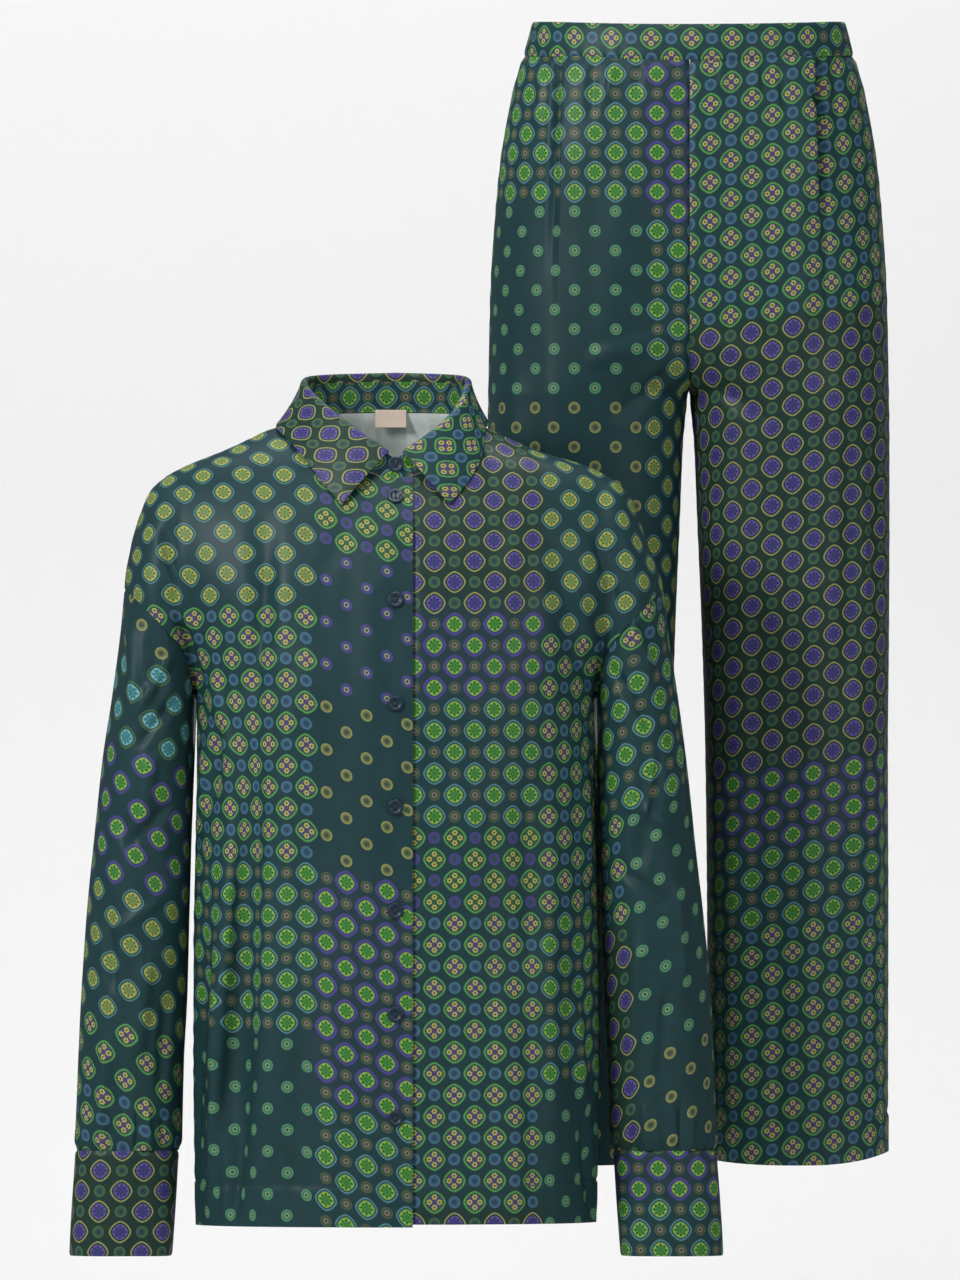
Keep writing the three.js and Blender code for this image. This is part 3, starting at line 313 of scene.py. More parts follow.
SLEEVE_CREASES = table(FOLD_COLUMNS, [
    # wearer's right sleeve
    (FRONT, -240, -160, -236, -236, 8, 2.4), (FRONT, -204, -196, -236, -252, 8, 2.6),
    (FRONT, -196, -232, -232, -276, 7, -2.4), (FRONT, -222, -290, -230, -350, 12, 2.2),
    (FRONT, -204, -330, -240, -366, 7, -2.2), (FRONT, -216, -420, -256, -448, 8, 2.0),
    (FRONT, -262, -420, -256, -500, 9, -2.2), (FRONT, -226, -470, -236, -560, 12, 2.4),
    (FRONT, -208, -500, -214, -590, 8, -2.0), (FRONT, -262, -540, -270, -640, 8, 2.2),
    (FRONT, -226, -600, -224, -648, 5, 2.0), (FRONT, -236, -606, -236, -648, 4, -1.6),
    (FRONT, -262, -604, -262, -648, 5, -2.0), (FRONT, -212, -612, -211, -648, 4, -1.6),
    # wearer's left sleeve
    (FRONT, 206, -150, 234, -214, 8, 2.4), (FRONT, 196, -206, 232, -262, 7, -2.8),
    (FRONT, 234, -286, 228, -342, 8, 3.0), (FRONT, 212, -330, 250, -352, 8, 2.0),
    (FRONT, 206, -390, 246, -420, 8, -2.2), (FRONT, 256, -400, 262, -500, 9, 2.2),
    (FRONT, 222, -450, 214, -560, 12, 2.2), (FRONT, 246, -500, 240, -580, 10, -2.2),
    (FRONT, 226, -604, 226, -648, 5, 2.0), (FRONT, 258, -600, 258, -648, 5, -2.0),
    (FRONT, 268, -608, 268, -648, 4, 1.6), (FRONT, 212, -610, 211, -648, 4, -1.6),
    # backs of both
    (BACK, -206, -200, -240, -270, 9, 2.6), (BACK, -214, -310, -250, -350, 8, -2.4),
    (BACK, -208, -430, -250, -400, 9, 2.4), (BACK, -250, -500, -240, -600, 10, -2.4),
    (BACK, -224, -590, -226, -648, 6, 2.2), (BACK, -252, -604, -254, -648, 5, -2.0),
    (BACK, 206, -196, 240, -268, 9, 2.6), (BACK, 212, -300, 246, -350, 8, -2.6),
    (BACK, 206, -470, 250, -430, 9, 2.4), (BACK, 248, -520, 240, -610, 10, -2.4),
    (BACK, 222, -590, 224, -648, 6, 2.2), (BACK, 250, -600, 254, -648, 5, -2.0),
])


def fold_relief(folds, face, x, z):
    """Height of all the listed folds at places of the cloth; each one fades at its two ends."""
    height = np.zeros(np.broadcast(x, z).shape)
    for i in np.flatnonzero(folds["face"] == face):
        x1, z1, x2, z2, width = (folds[key][i] for key in ("x1", "z1", "x2", "z2", "width"))
        length = math.hypot(x2 - x1, z2 - z1)
        along = ((x - x1) * (x2 - x1) + (z - z1) * (z2 - z1)) / length
        across = ((x - x1) * (z2 - z1) - (z - z1) * (x2 - x1)) / length
        fade = smooth((along + width) / (length * 0.4)) * smooth((length + width - along) / (length * 0.3))
        bump = np.cos(np.clip(across / width, -1, 1) * math.pi / 2) ** 2
        height += folds["height"][i] * fade * bump
    return height


print("creases:", sum(len(t["face"]) for t in (SHIRT_FOLDS, SHIRT_CREASES, SLEEVE_FOLDS, SLEEVE_CREASES)))

# %% [markdown]
# ## From a grid of points to a piece of cloth
# A piece of cloth has two faces and a thin edge. The helper takes a grid of points on the outer face,
# lifts them by a relief, adds the inner face a little inside and closes the edges. It also lays the
# cloth flat: each point gets its place on the uncut cloth as a UV coordinate in metres, so that the
# print keeps its size wherever the cloth goes.

# %% Cloth shell helper
OBJECTS = {}


def grid_normals(grid, tube, outward):
    """Unit vectors that stand on the outer face of a grid."""
    if tube:
        across = np.roll(grid, -1, axis=1) - np.roll(grid, 1, axis=1)
    else:
        across = np.gradient(grid, axis=1)
    normal = np.cross(across, np.gradient(grid, axis=0))
    normal /= np.maximum(np.linalg.norm(normal, axis=2, keepdims=True), 1e-9)
    side = np.sign(np.median((normal * outward).sum(axis=2)))
    return normal * (side or 1)


def cloth_shell(name, grid, flat, wall, outward, tube=False, relief=None):
    """Closed thin shell from points in millimetres, with its flat places in metres as UVs."""
    if outward is None:
        outward = grid - grid.mean(axis=1, keepdims=True)
    normal = grid_normals(grid, tube, np.asarray(outward, float))
    if relief is not None:
        grid = grid + normal * relief[..., None]
        normal = grid_normals(grid, tube, np.asarray(outward, float))
    rows, columns = grid.shape[:2]
    points = np.concatenate([grid.reshape(-1, 3), (grid - normal * wall).reshape(-1, 3)]) / 1000
    last = columns if tube else columns - 1
    r, c = (a.ravel() for a in np.meshgrid(np.arange(rows - 1), np.arange(last), indexing="ij"))
    corner_rows = np.stack([r, r, r + 1, r + 1], axis=1)
    corner_columns = np.stack([c, c + 1, c + 1, c], axis=1)
    across, down = grid[rows // 2, 1] - grid[rows // 2, 0], grid[rows // 2 + 1, 0] - grid[rows // 2, 0]
    if np.dot(np.cross(down, across), normal[rows // 2, 0]) > 0:
        order_out, order_in = [0, 3, 2, 1], [0, 1, 2, 3]
    else:
        order_out, order_in = [0, 1, 2, 3], [0, 3, 2, 1]
    inner_start = rows * columns
    quads, places, kinds = [], [], []

    def add(row_index, column_index, layer, order, kind):
        index = row_index * columns + column_index % columns + layer * inner_start
        quads.append(index[:, order])
        places.append(np.stack([row_index, column_index], axis=2)[:, order])
        kinds.append(np.full(len(index), kind))

    zero = np.zeros_like(corner_rows)
    add(corner_rows, corner_columns, zero, order_out, 0)
    add(corner_rows, corner_columns, zero + 1, order_in, 1)
    side_in = [0, 0, 1, 1]
    c = np.arange(last)
    for row, flip in ((0, False), (rows - 1, True)):
        edge_rows = np.full((last, 4), row)
        edge_columns = np.stack([c, c + 1, c + 1, c], axis=1)
        order = order_in if flip else order_out
        add(edge_rows, edge_columns, np.tile([1, 1, 0, 0], (last, 1)), order, 0)
    if not tube:
        r = np.arange(rows - 1)
        for column, flip in ((0, True), (columns - 1, False)):
            edge_rows = np.stack([r, r + 1, r + 1, r], axis=1)
            edge_columns = np.full((rows - 1, 4), column)
            order = order_out if flip else order_in
            add(edge_rows, edge_columns, np.tile([0, 0, 1, 1], (rows - 1, 1)), order, 0)
    quads, places, kinds = np.concatenate(quads), np.concatenate(places), np.concatenate(kinds)
    mesh = bpy.data.meshes.new(name)
    mesh.vertices.add(len(points))
    mesh.vertices.foreach_set("co", points.ravel())
    mesh.loops.add(quads.size)
    mesh.loops.foreach_set("vertex_index", quads.ravel().astype(np.int32))
    mesh.polygons.add(len(quads))
    mesh.polygons.foreach_set("loop_start", np.arange(0, quads.size, 4, dtype=np.int32))
    mesh.polygons.foreach_set("material_index", kinds.astype(np.int32))
    mesh.polygons.foreach_set("use_smooth", np.ones(len(quads), bool))
    mesh.update(calc_edges=True)
    uv = mesh.uv_layers.new(name="flat_cloth")
    uv.data.foreach_set("uv", flat[places[..., 0], places[..., 1]].reshape(-1).astype(np.float32))
    mesh.validate()
    mesh.set_sharp_from_angle(angle=math.radians(60))
    piece = bpy.data.objects.new(name, mesh)
    bpy.context.scene.collection.objects.link(piece)
    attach(piece, "root")
    OBJECTS[name] = piece
    area = np.linalg.norm(np.cross(grid[1:, 1:] - grid[:-1, :-1], grid[1:, :-1] - grid[:-1, 1:]), axis=2).sum() / 2
    print(f"{name}: {len(quads) * 2} triangles, {area / 1e6:.4f} square metres")
    return piece, grid, normal


def fine(count):
    return count


# %% [markdown]
# ## The body of the shirt
# Seen from above, the body is a rounded oval, and the top of each arm is a smaller one. The cloth runs
# over both, so their depths are joined softly. Folds add to that depth and vanish at the side seams.

# %% Shirt form
SHOULDER_END_Z, UNDERARM_Z, SHIRT_HEM_Z = -135, -236, -711
FRONT_OVERLAP = 15.5
ARM_JOIN = 8


def leaned(x, y, z):
    """Moves places of the even shirt sideways by the lean of its outline."""
    share = np.minimum(1, np.abs(x) / read(OUTLINE, "z", "half", z))
    return np.stack([x + read(OUTLINE, "z", "lean", z) * share ** 2, y + 0 * x, z + 0 * x], axis=-1)


def shirt_depth(x, z, face):
    """Depth of the shirt in front of or behind its side seams."""
    outline = read(OUTLINE, "z", "half", z)
    torso = read(BODY_WIDTH, "z", "half", z)
    rise = smooth((z - UNDERARM_Z) / (-55 - UNDERARM_Z))
    half = np.where(z > UNDERARM_Z, mix(torso, outline, rise), torso)
    depth = read(BODY_DEPTH, "z", "front" if face < 0 else "back", z)
    body = super_depth(x, half, depth, mix(2.3, 2.0, rise))
    inner = read(SLEEVE, "z", "inner", z)
    arm_half = np.maximum((outline - inner) / 2, 1e-3)
    arm_depth = np.where((z > -30) | (z < UNDERARM_Z) | (outline - inner < 2), 0, read(SLEEVE, "z", "depth", z))
    arm = super_depth(np.abs(x) - inner - arm_half, arm_half, arm_depth, 2.0)
    return (body ** ARM_JOIN + arm ** ARM_JOIN) ** (1 / ARM_JOIN)


def folded_depth(x, z, face):
    """Depth of the shirt with its large folds."""
    depth = shirt_depth(x, z, face)
    return depth + fold_relief(SHIRT_FOLDS, face, x, z) * np.minimum(1, depth / 40)


# %% [markdown]
# ## Laying the cloth flat
# A print follows the cloth, not the picture: where the cloth turns away, its motifs look narrow. The
# distance along the cloth from the middle line and from the chest is measured on a fine net, once for
# the front and once for the back, and each point of a panel reads its place from that net.

# %% Flat places of the body
NET_X = np.arange(0.0, 301.0, 1.0)
NET_Z = np.arange(32.0, -720.0, -2.0)
CHEST_Z = -200.0
SIDE_FOLD_CLOTH = 16
NET_FOLD_SHARE = 0.3


def net_lookup(net, x, z):
    """Reads a net at places between its lines."""
    col = np.clip(np.abs(x) / 1.0, 0, len(NET_X) - 1.001)
    row = np.clip((NET_Z[0] - z) / 2.0, 0, len(NET_Z) - 1.001)
    c, r = col.astype(int), row.astype(int)
    s, t = col - c, row - r
    top = net[r, c] * (1 - s) + net[r, c + 1] * s
    low = net[r + 1, c] * (1 - s) + net[r + 1, c + 1] * s
    return top * (1 - t) + low * t


def softened(values, reach):
    """Running mean along each row, weighted to its middle."""
    weights = np.hanning(2 * reach + 1)
    padded = np.pad(values, ((0, 0), (reach, reach)), mode="reflect")
    return np.apply_along_axis(np.convolve, 1, padded, weights / weights.sum(), "valid")


def flat_nets(side, face):
    """Distance across and down the cloth for a quarter of the shirt, in millimetres."""
    x, z = np.meshgrid(NET_X, NET_Z)
    depth = softened(shirt_depth(x, z, face), 22)
    folds = fold_relief(SHIRT_FOLDS, face, side * x, z) + CREASE_GAIN * fold_relief(SHIRT_CREASES, face, side * x, z)
    depth = depth + NET_FOLD_SHARE * folds * smooth((z + 45) / -60) * np.minimum(1, depth / 30)
    across = np.hypot(np.diff(x, axis=1), np.diff(depth, axis=1))
    across = np.concatenate([np.zeros((len(NET_Z), 1)), np.cumsum(across, axis=1)], axis=1)
    if (side, face) == (-1, FRONT):
        across = across + SIDE_FOLD_CLOTH * smooth((x - 120) / 34) * smooth((z + 200) / -160)
    down = np.hypot(np.diff(z, axis=0), np.minimum(np.abs(np.diff(depth, axis=0)), 6))
    down = np.concatenate([np.zeros((1, len(NET_X))), np.cumsum(down, axis=0)])
    chest = int((NET_Z[0] - CHEST_Z) / 2)
    return across, down - down[chest] - CHEST_Z


NETS = {(side, face): flat_nets(side, face) for side in (-1, 1) for face in (FRONT, BACK)}


def flat_place(side, x, z, face):
    """Place on the uncut cloth in metres: across from the middle line, and down."""
    across, down = NETS[side, face]
    return np.stack([np.sign(x) * net_lookup(across, x, z), net_lookup(down, x, z)], axis=-1) / 1000


print("width of half a front at the chest in mm:", round(float(net_lookup(NETS[1, FRONT][0], 182.0, -300.0)), 1))

# %% [markdown]
# ## Fronts and back
# Each panel is a net of lines: across from the middle edge to the side, and down from neck and
# shoulder to the hem. At the top the lines bend with the neck seam, and lower down they lie level.
# Near the seams the cloth dips into the stitching and puckers a little, which tells the eye that two
# pieces are sewn together. The hem is folded up and stitched, so it stands a little thicker.

# %% Neck seam and panel grid
NECK_HALF, NECK_SIDE_Z, NECK_FRONT_Z, NECK_BACK_Z = 75, 22, -35, 25.5
NECK_FRONT_Y, NECK_BACK_Y, NECK_SCOOP = 63, 57, 0.85
SHOULDER = table("step z", list(enumerate([22, 7, -9, -20, -31, -45, -68, -98, SHOULDER_END_Z])))
OVERLAP_ANGLE = math.degrees(math.asin(FRONT_OVERLAP / NECK_HALF))
HEM_DEPTH = 36
UNDERLAP_DIP = 2.4


def neck_seam(angle):
    """x, y and z of the neck seam, by the angle from the middle of the front."""
    across, ahead = np.sin(np.radians(angle)), np.cos(np.radians(angle))
    front_z = NECK_SIDE_Z - (NECK_SIDE_Z - NECK_FRONT_Z) * (ahead * ahead) ** NECK_SCOOP
    back_z = NECK_SIDE_Z - (NECK_BACK_Z - NECK_SIDE_Z) * ahead
    z = np.where(ahead > 0, front_z, back_z)
    return NECK_HALF * across, -np.where(ahead > 0, NECK_FRONT_Y, NECK_BACK_Y) * ahead, z


def overlap_lift(x):
    """Rise of the wearer's right front where it lies over the left one."""
    return 2.2 * smooth((x + 46) / (46 - 21))


def pucker(along, across, pitch, height, reach):
    """Small waves of gathered cloth beside a seam, that die out away from it."""
    wave = np.sin(along * 2 * math.pi / pitch + 1.7 * np.sin(along / 31)) * (0.6 + 0.4 * np.sin(along / 17))
    return height * wave * np.exp(-(across / reach) ** 2)


def seam_dip(across, depth=1.1, reach=1.9):
    """Valley in which a seam lies."""
    return -depth * np.exp(-(across / reach) ** 2)


def stitch_dent(distance, depth=0.35):
    """Shallow line that a row of stitches pulls into the cloth."""
    return -depth * np.exp(-(distance / 1.3) ** 2)


def body_panel(name, side, face, start, start_angle, neck_steps, hem, lift, columns=78):
    """Grid, relief and flat places of half a shirt body."""
    last = neck_steps + 8
    k = np.linspace(0, last, fine(columns))
    r = np.concatenate([np.linspace(0, 10, fine(56))[:-1], np.linspace(10, 21, fine(150))])
    angle = mix(start_angle, 90, np.minimum(k / neck_steps, 1))
    neck_x, neck_y, neck_z = neck_seam(angle)
    shoulder_z = read(SHOULDER, "step", "z", k - neck_steps)
    on_neck = k <= neck_steps
    top_x = np.where(on_neck, neck_x, read(OUTLINE, "z", "half", shoulder_z))
    top_y = np.where(on_neck, np.abs(neck_y), 0)
    top_z = np.where(on_neck, neck_z, shoulder_z)
    side_z = np.where(r <= 10, mix(SHOULDER_END_Z, UNDERARM_Z, np.minimum(r / 10, 1) ** 1.3),
                      mix(UNDERARM_Z, hem, (r - 10) / 11))[:, None]
    down = np.minimum(1, r / 10)[:, None]
    half = np.where(side_z > UNDERARM_Z, read(ARMHOLE, "z", "x", side_z), read(BODY_WIDTH, "z", "half", side_z))
    z = side_z + (top_z - SHOULDER_END_Z)[None] * (1 - down ** 1.4)
    spread = half * np.sin(mix(np.arcsin(start / half), math.pi / 2, (k / last)[None]))
    top_share = ((top_x - top_x[0]) / (top_x[-1] - top_x[0]))[None]
    x = mix(start + (half - start) * top_share, spread, down)
    drift = top_y - shirt_depth(top_x, top_z, face)
    depth = folded_depth(side * x, z, face) + drift[None] * np.maximum(0, 1 - r / 4)[:, None]
    y = face * (np.maximum(0, depth) + lift(side * x))
    grid = leaned(side * x, y, z)
    flat = flat_place(side, side * x, z, face)
    u, v = flat[..., 0] * 1000 * side, flat[..., 1] * 1000
    to_side = u[:, -1:] - u
    to_hem = (z - hem)
    to_top = np.abs(v - v[:1])
    below = (r >= 10)[:, None]
    relief = CREASE_GAIN * fold_relief(SHIRT_CREASES, face, side * x, z) * np.minimum(1, depth / 30)
    relief = relief * smooth(to_side / 8)
    relief += np.where(below, pucker(v, to_side, 23, 0.35, 9), pucker(v + u, to_side, 15, 0.5, 10))
    relief += seam_dip(to_side) + pucker(u, to_top, 17, 0.25, 8) * smooth((u - 90) / 20)
    relief += 0.8 * smooth((HEM_DEPTH - to_hem) / 1.2) + stitch_dent(to_hem - HEM_DEPTH - 1.2, 1.7)
    relief += pucker(u, to_hem - HEM_DEPTH, 13, 0.25, 12)
    if face < 0 and side > 0:
        relief -= UNDERLAP_DIP * (1 - smooth((side * x - 15.5) / 6)) * smooth(-(z + 60) / 30)
    return grid, relief, flat


# %% Sew the fronts and the back
SHIRT_WALL = 0.9
fronts = {}
for name, side in (("shirt_front_right", -1), ("shirt_front_left", 1)):
    over = side < 0
    grid, relief, flat = body_panel(
        name, side, FRONT, -FRONT_OVERLAP, -OVERLAP_ANGLE, 6, SHIRT_HEM_Z - (2.5 if over else 0),
        overlap_lift if over else (lambda x: 0 * x),
    )
    fronts[side] = cloth_shell(f"{name}_cloth", grid, flat, SHIRT_WALL, (0, -1, 0), relief=relief)

halves = {
    side: body_panel("shirt_back", side, BACK, 0, 180, 5, SHIRT_HEM_Z, lambda x: 0 * x, columns=72)
    for side in (-1, 1)
}
back_grid, back_relief, back_flat = (
    np.concatenate([halves[-1][i][:, :0:-1], halves[1][i]], axis=1) for i in range(3)
)
back = cloth_shell("shirt_back_cloth", back_grid, back_flat, SHIRT_WALL, (0, 1, 0), relief=back_relief)

# %% [markdown]
# ## Sleeves and cuffs
# A sleeve starts on the armhole, which the fronts and the back already give, so its first ring is
# read from their edges. Below, the ring settles into a plain oval that narrows to the wrist. The last
# centimetres are gathered a little into the cuff, a flatter band of doubled cloth.

# %% Sleeves
SLEEVE_END_Z, CUFF_END_Z = -646, -742
ARMHOLE_ROWS = fine(56)


def sleeve_section(z):
    """Middle, half width and half depth of the sleeve at a height."""
    outer, inner = read(OUTLINE, "z", "half", z), read(SLEEVE, "z", "inner", z)
    return (outer + inner) / 2, (outer - inner) / 2, read(SLEEVE, "z", "depth", z)


def sleeve_place(side, z, angle, face):
    """Point of a sleeve at an angle from its outer edge."""
    centre, half, depth = sleeve_section(z)
    x = side * (centre + half * np.cos(angle))
    folds = np.where(face < 0, fold_relief(SLEEVE_FOLDS, -1, x, z), fold_relief(SLEEVE_FOLDS, 1, x, z))
    return x, leaned(x, face * (depth * np.sin(angle) + folds * np.sin(angle)), z)


def sew_sleeve(name, side):
    """One sleeve from its armhole to the cuff."""
    front_edge = fronts[side][1][:ARMHOLE_ROWS, -1]
    back_edge = back[1][:ARMHOLE_ROWS, -1 if side > 0 else 0]
    ring = np.concatenate([front_edge, back_edge[-2:0:-1]])
    ring[0, 1] = ring[ARMHOLE_ROWS - 1, 1] = 0
    count = len(ring)
    j = np.arange(count)
    face = np.where(j < ARMHOLE_ROWS, -1, 1)
    z0 = ring[:, 2]
    centre, half, depth = sleeve_section(z0)
    lean = read(OUTLINE, "z", "lean", z0) * (ring[:, 0] / read(OUTLINE, "z", "half", z0)) ** 2
    angle0 = np.arccos(np.clip((side * (ring[:, 0] - lean) - centre) / half, -1, 1))
    drift = ring - sleeve_place(side, z0, angle0, face)[1]
    turn = np.minimum(j, count - j) / (count / 2)
    down = np.linspace(0, 1, fine(150))[:, None]
    settle = smooth(down / 0.35)
    angle = mix(angle0, math.pi * turn, settle)
    z = mix(z0, SLEEVE_END_Z + 0.0, down)
    x, grid = sleeve_place(side, z, angle, face)
    grid = grid + drift * (1 - settle)[..., None]
    section_x = x - side * sleeve_section(z)[0]
    around = np.concatenate([np.zeros((len(grid), 1)), np.cumsum(
        np.linalg.norm(np.diff(np.concatenate([grid, grid[:, :1]], axis=1)[:, :, :2], axis=1), axis=2), axis=1)], axis=1)
    middle = np.argmin(np.abs(turn[:count // 2] - 0.5))
    around = around - around[:, middle:middle + 1]
    flat = np.stack([-around * side, np.concatenate([-z, -z[:, :1]], axis=1)], axis=-1) / 1000
    to_cuff = z - SLEEVE_END_Z
    to_armhole = down * (z0 - SLEEVE_END_Z)
    crease = np.where(face < 0, fold_relief(SLEEVE_CREASES, -1, x, z), fold_relief(SLEEVE_CREASES, 1, x, z))
    relief = SLEEVE_GAIN * crease * smooth(np.abs(np.sin(angle)) / 0.5) * smooth(to_armhole / 10)
    ring_way = np.cumsum(np.linalg.norm(np.diff(ring, axis=0, append=ring[:1]), axis=1))
    relief += seam_dip(to_armhole) + pucker(ring_way[None], to_armhole, 15, 0.5, 10)
    relief += pucker(around[:, :-1] * 1.0, to_cuff, 11, 0.9, 22) - 3.2 * np.exp(-(to_cuff / 5) ** 2)
    return cloth_shell(name, grid, flat, SHIRT_WALL, None, tube=True, relief=relief)


sleeves = {side: sew_sleeve(f"sleeve_{word}_cloth", side) for word, side in (("right", -1), ("left", 1))}

# %% Cuffs
BAND_WALL = 1.4


def sew_cuff(name, side):
    """One cuff: a doubled band that bulges slightly between its seam and its folded edge."""
    z = np.linspace(SLEEVE_END_Z, CUFF_END_Z, fine(40))[:, None]
    angle = np.linspace(0, 2 * math.pi, fine(120), endpoint=False)[None]
    centre, half, depth = (read(CUFF, "z", key, z) for key in ("centre", "half", "depth"))
    out, behind = np.cos(angle), -np.sin(angle)
    x = centre + half * np.sign(out) * np.abs(out) ** (2 / 2.3)
    y = depth * np.sign(behind) * np.abs(behind) ** (2 / 2.3)
    grid = np.stack([side * x, y + 0 * z, z + 0 * x], axis=-1)
    steps = np.linalg.norm(np.diff(np.concatenate([grid, grid[:, :1]], axis=1), axis=1), axis=2)
    around = np.concatenate([np.zeros((len(grid), 1)), np.cumsum(steps, axis=1)], axis=1)
    flat = np.stack([-around * side, np.repeat(-z, around.shape[1], axis=1)], axis=-1) / 1000
    share = (z - SLEEVE_END_Z) / (CUFF_END_Z - SLEEVE_END_Z)
    relief = 0.7 * np.sin(math.pi * share) ** 0.5 + pucker(around[:, :-1], z - SLEEVE_END_Z, 12, 0.5, 10)
    relief += seam_dip(z - SLEEVE_END_Z, 1.4, 2) - 0.7 * np.exp(-((z - CUFF_END_Z) / 1.2) ** 2)
    relief += 0.8 * np.sin(3 * angle + 1.1 + side) * share + 0.5 * np.sin(5 * angle + 2 * share) * share
    return cloth_shell(name, grid, flat, BAND_WALL, None, tube=True, relief=relief)


cuffs = {side: sew_cuff(f"cuff_{word}_cloth", side) for word, side in (("right", -1), ("left", 1))}

# %% [markdown]
# ## Collar
# The collar is two pieces. The stand is a band round the neck. The fall is sewn to the top of the
# stand, rolls over and lies down on the shoulders, and its two points are its front corners. The roll
# is the part that gives a collar its life, so it is drawn through several points and kept round.

# %% Collar tables and places
ROLL = table("angle z seam", [
    (0, -14, 4), (7, -8, 4), (26, 8, 6), (47, 26, 7), (70, 45, 8), (90, 56, 8), (130, 60, 8), (180, 62, 8),
])
FALL_EDGE = table("way x z face", [
    (0, 49, -58.5, -1), (0.14, 66, -39, -1), (0.28, 82, -14, -1), (0.42, 94, 8, -1),
    (0.5, 97.5, 14.5, 0), (0.62, 90, 16.5, 1), (0.8, 57, 18, 1), (1, 0, 17, 1),
])
ROLL_RADIUS = 3.0
STAND_END_HEIGHT = 14
CLOTH = 1.2


def collar_point(angle, height, outwards=0.0):
    """Place on the collar at an angle round the neck and a height above the neck seam."""
    angle = angle + 0 * height
    x, y, z = neck_seam(angle)
    drawn = 1 - 0.001 * height
    point = leaned(x, y, z)
    radius = np.hypot(x, y)
    lift = np.where(angle > 270, overlap_lift(x), 0)
    point[..., 0] += x * (drawn - 1) + outwards * x / radius
    point[..., 1] = y * drawn + np.sign(y) * 0.2 - lift + outwards * y / radius
    point[..., 2] += height
    return point


def fold_angle(angle):
    """Angle from the middle of the front, whichever way round."""
    return np.abs((angle + 180) % 360 - 180)


def roll_height(angle):
    return read(ROLL, "angle", "z", fold_angle(angle)) - neck_seam(angle)[2]


def stand_height(angle):
    past = (angle < 0) | (angle > 360)
    full = roll_height(angle) - read(ROLL, "angle", "seam", fold_angle(angle))
    rounded = STAND_END_HEIGHT * np.sqrt(np.clip(1 - (np.abs(angle - 180) - 180) ** 2 / OVERLAP_ANGLE ** 2, 0.02, 1))
    return np.where(past, rounded, full)


def blend_curve(stops, steps):
    """Smooth curve through a list of points, for a whole row of curves at once."""
    stops = np.array(stops)
    padded = np.concatenate([2 * stops[:1] - stops[1:2], stops, 2 * stops[-1:] - stops[-2:-1]])
    out = []
    for i in range(1, len(padded) - 2):
        p0, p1, p2, p3 = padded[i - 1:i + 3]
        for step in range(steps):
            t = step / steps
            out.append(0.5 * (2 * p1 + (p2 - p0) * t + (2 * p0 - 5 * p1 + 4 * p2 - p3) * t ** 2
                              + (3 * p1 - p0 - 3 * p2 + p3) * t ** 3))
    out.append(stops[-1])
    return np.array(out)


def grid_flat(grid, shift=(0.0, 0.0), middle=None):
    """Flat places of a band from the lengths of its own grid lines, in metres."""
    across = np.linalg.norm(np.diff(grid, axis=1), axis=2)
    across = np.concatenate([np.zeros((len(grid), 1)), np.cumsum(across, axis=1)], axis=1)
    across -= across[:, middle:middle + 1] if middle is not None else 0
    down = np.linalg.norm(np.diff(grid, axis=0), axis=2)
    down = np.concatenate([np.zeros((1, grid.shape[1])), np.cumsum(down, axis=0)])
    return np.stack([across + shift[0], down + shift[1]], axis=-1) / 1000


# %% Collar stand
angle = np.linspace(-OVERLAP_ANGLE, 360 + OVERLAP_ANGLE, fine(260))
share = np.linspace(0, 1, fine(20))[:, None]
stand_grid = collar_point(angle[None], mix(0.3, stand_height(angle)[None], share))
stand_relief = seam_dip(share * 30, 0.4) + 0 * stand_grid[..., 0]
stand = cloth_shell("collar_stand_cloth", stand_grid, grid_flat(stand_grid, middle=130),
                    1.2, stand_grid * (1, 1, 0), relief=stand_relief)

# %% Turned-down collar
first_angle = mix(-OVERLAP_ANGLE, 90, 1 / 6)
angle = np.linspace(first_angle, 360 - first_angle, fine(280))
side = np.where(angle <= 180, 1, -1)
way = (fold_angle(angle) - first_angle) / (180 - first_angle)
edge_x, edge_z = side * read(FALL_EDGE, "way", "x", way), read(FALL_EDGE, "way", "z", way)
edge_face = read(FALL_EDGE, "way", "face", way)
edge_depth = np.where(edge_face <= 0, shirt_depth(edge_x, edge_z - 4, -1), shirt_depth(edge_x, edge_z - 4, 1)) + 3
edge = leaned(edge_x, edge_face * edge_depth, edge_z)
rise, top = stand_height(angle), roll_height(angle)
foot = collar_point(angle, rise + 0.3, -CLOTH)
inside = collar_point(angle, mix(rise, top, 0.75), 0.45 - CLOTH)
crest = collar_point(angle, top, ROLL_RADIUS - CLOTH)
outside = collar_point(angle, mix(rise, top, 0.7), ROLL_RADIUS * 2 - CLOTH)
away = crest * (1, 1, 0)
away /= np.linalg.norm(away, axis=1, keepdims=True)
bend = (outside + edge) / 2 + away * (5 - 9.5 * np.abs(np.sin(np.radians(angle))) ** 2)[:, None]
over_curve = [(1 - t) ** 2 * outside + 2 * t * (1 - t) * bend + t * t * edge for t in (0.12, 0.3, 0.5, 0.75, 1)]
fall_grid = blend_curve([foot, inside, crest, outside, *over_curve], 5)
fall_flat = grid_flat(fall_grid, middle=len(angle) // 2)
down = fall_flat[..., 1] * 1000
to_edge = down[-1:] - down
fall_relief_map = -0.5 * np.exp(-(to_edge / 1.0) ** 2) + stitch_dent(to_edge - 5.5, 0.25)
around = fall_flat[..., 0] * 1000
fall_relief_map += 0.6 * np.sin(around / 27 + 0.6) * smooth(down / 30) * np.exp(-((np.abs(around) - 130) / 90) ** 2)
fall = cloth_shell("collar_fall_cloth", fall_grid, fall_flat, 1.3, away[None] * (1, 1, 0) + (0, 0, 0.2),
                   relief=fall_relief_map)

# %% [markdown]
# ## Label
# A woven label sits inside the back of the neck. It is a small folded ribbon, left blank, sewn at its
# top edge, so its lower edge stands free by a hair.

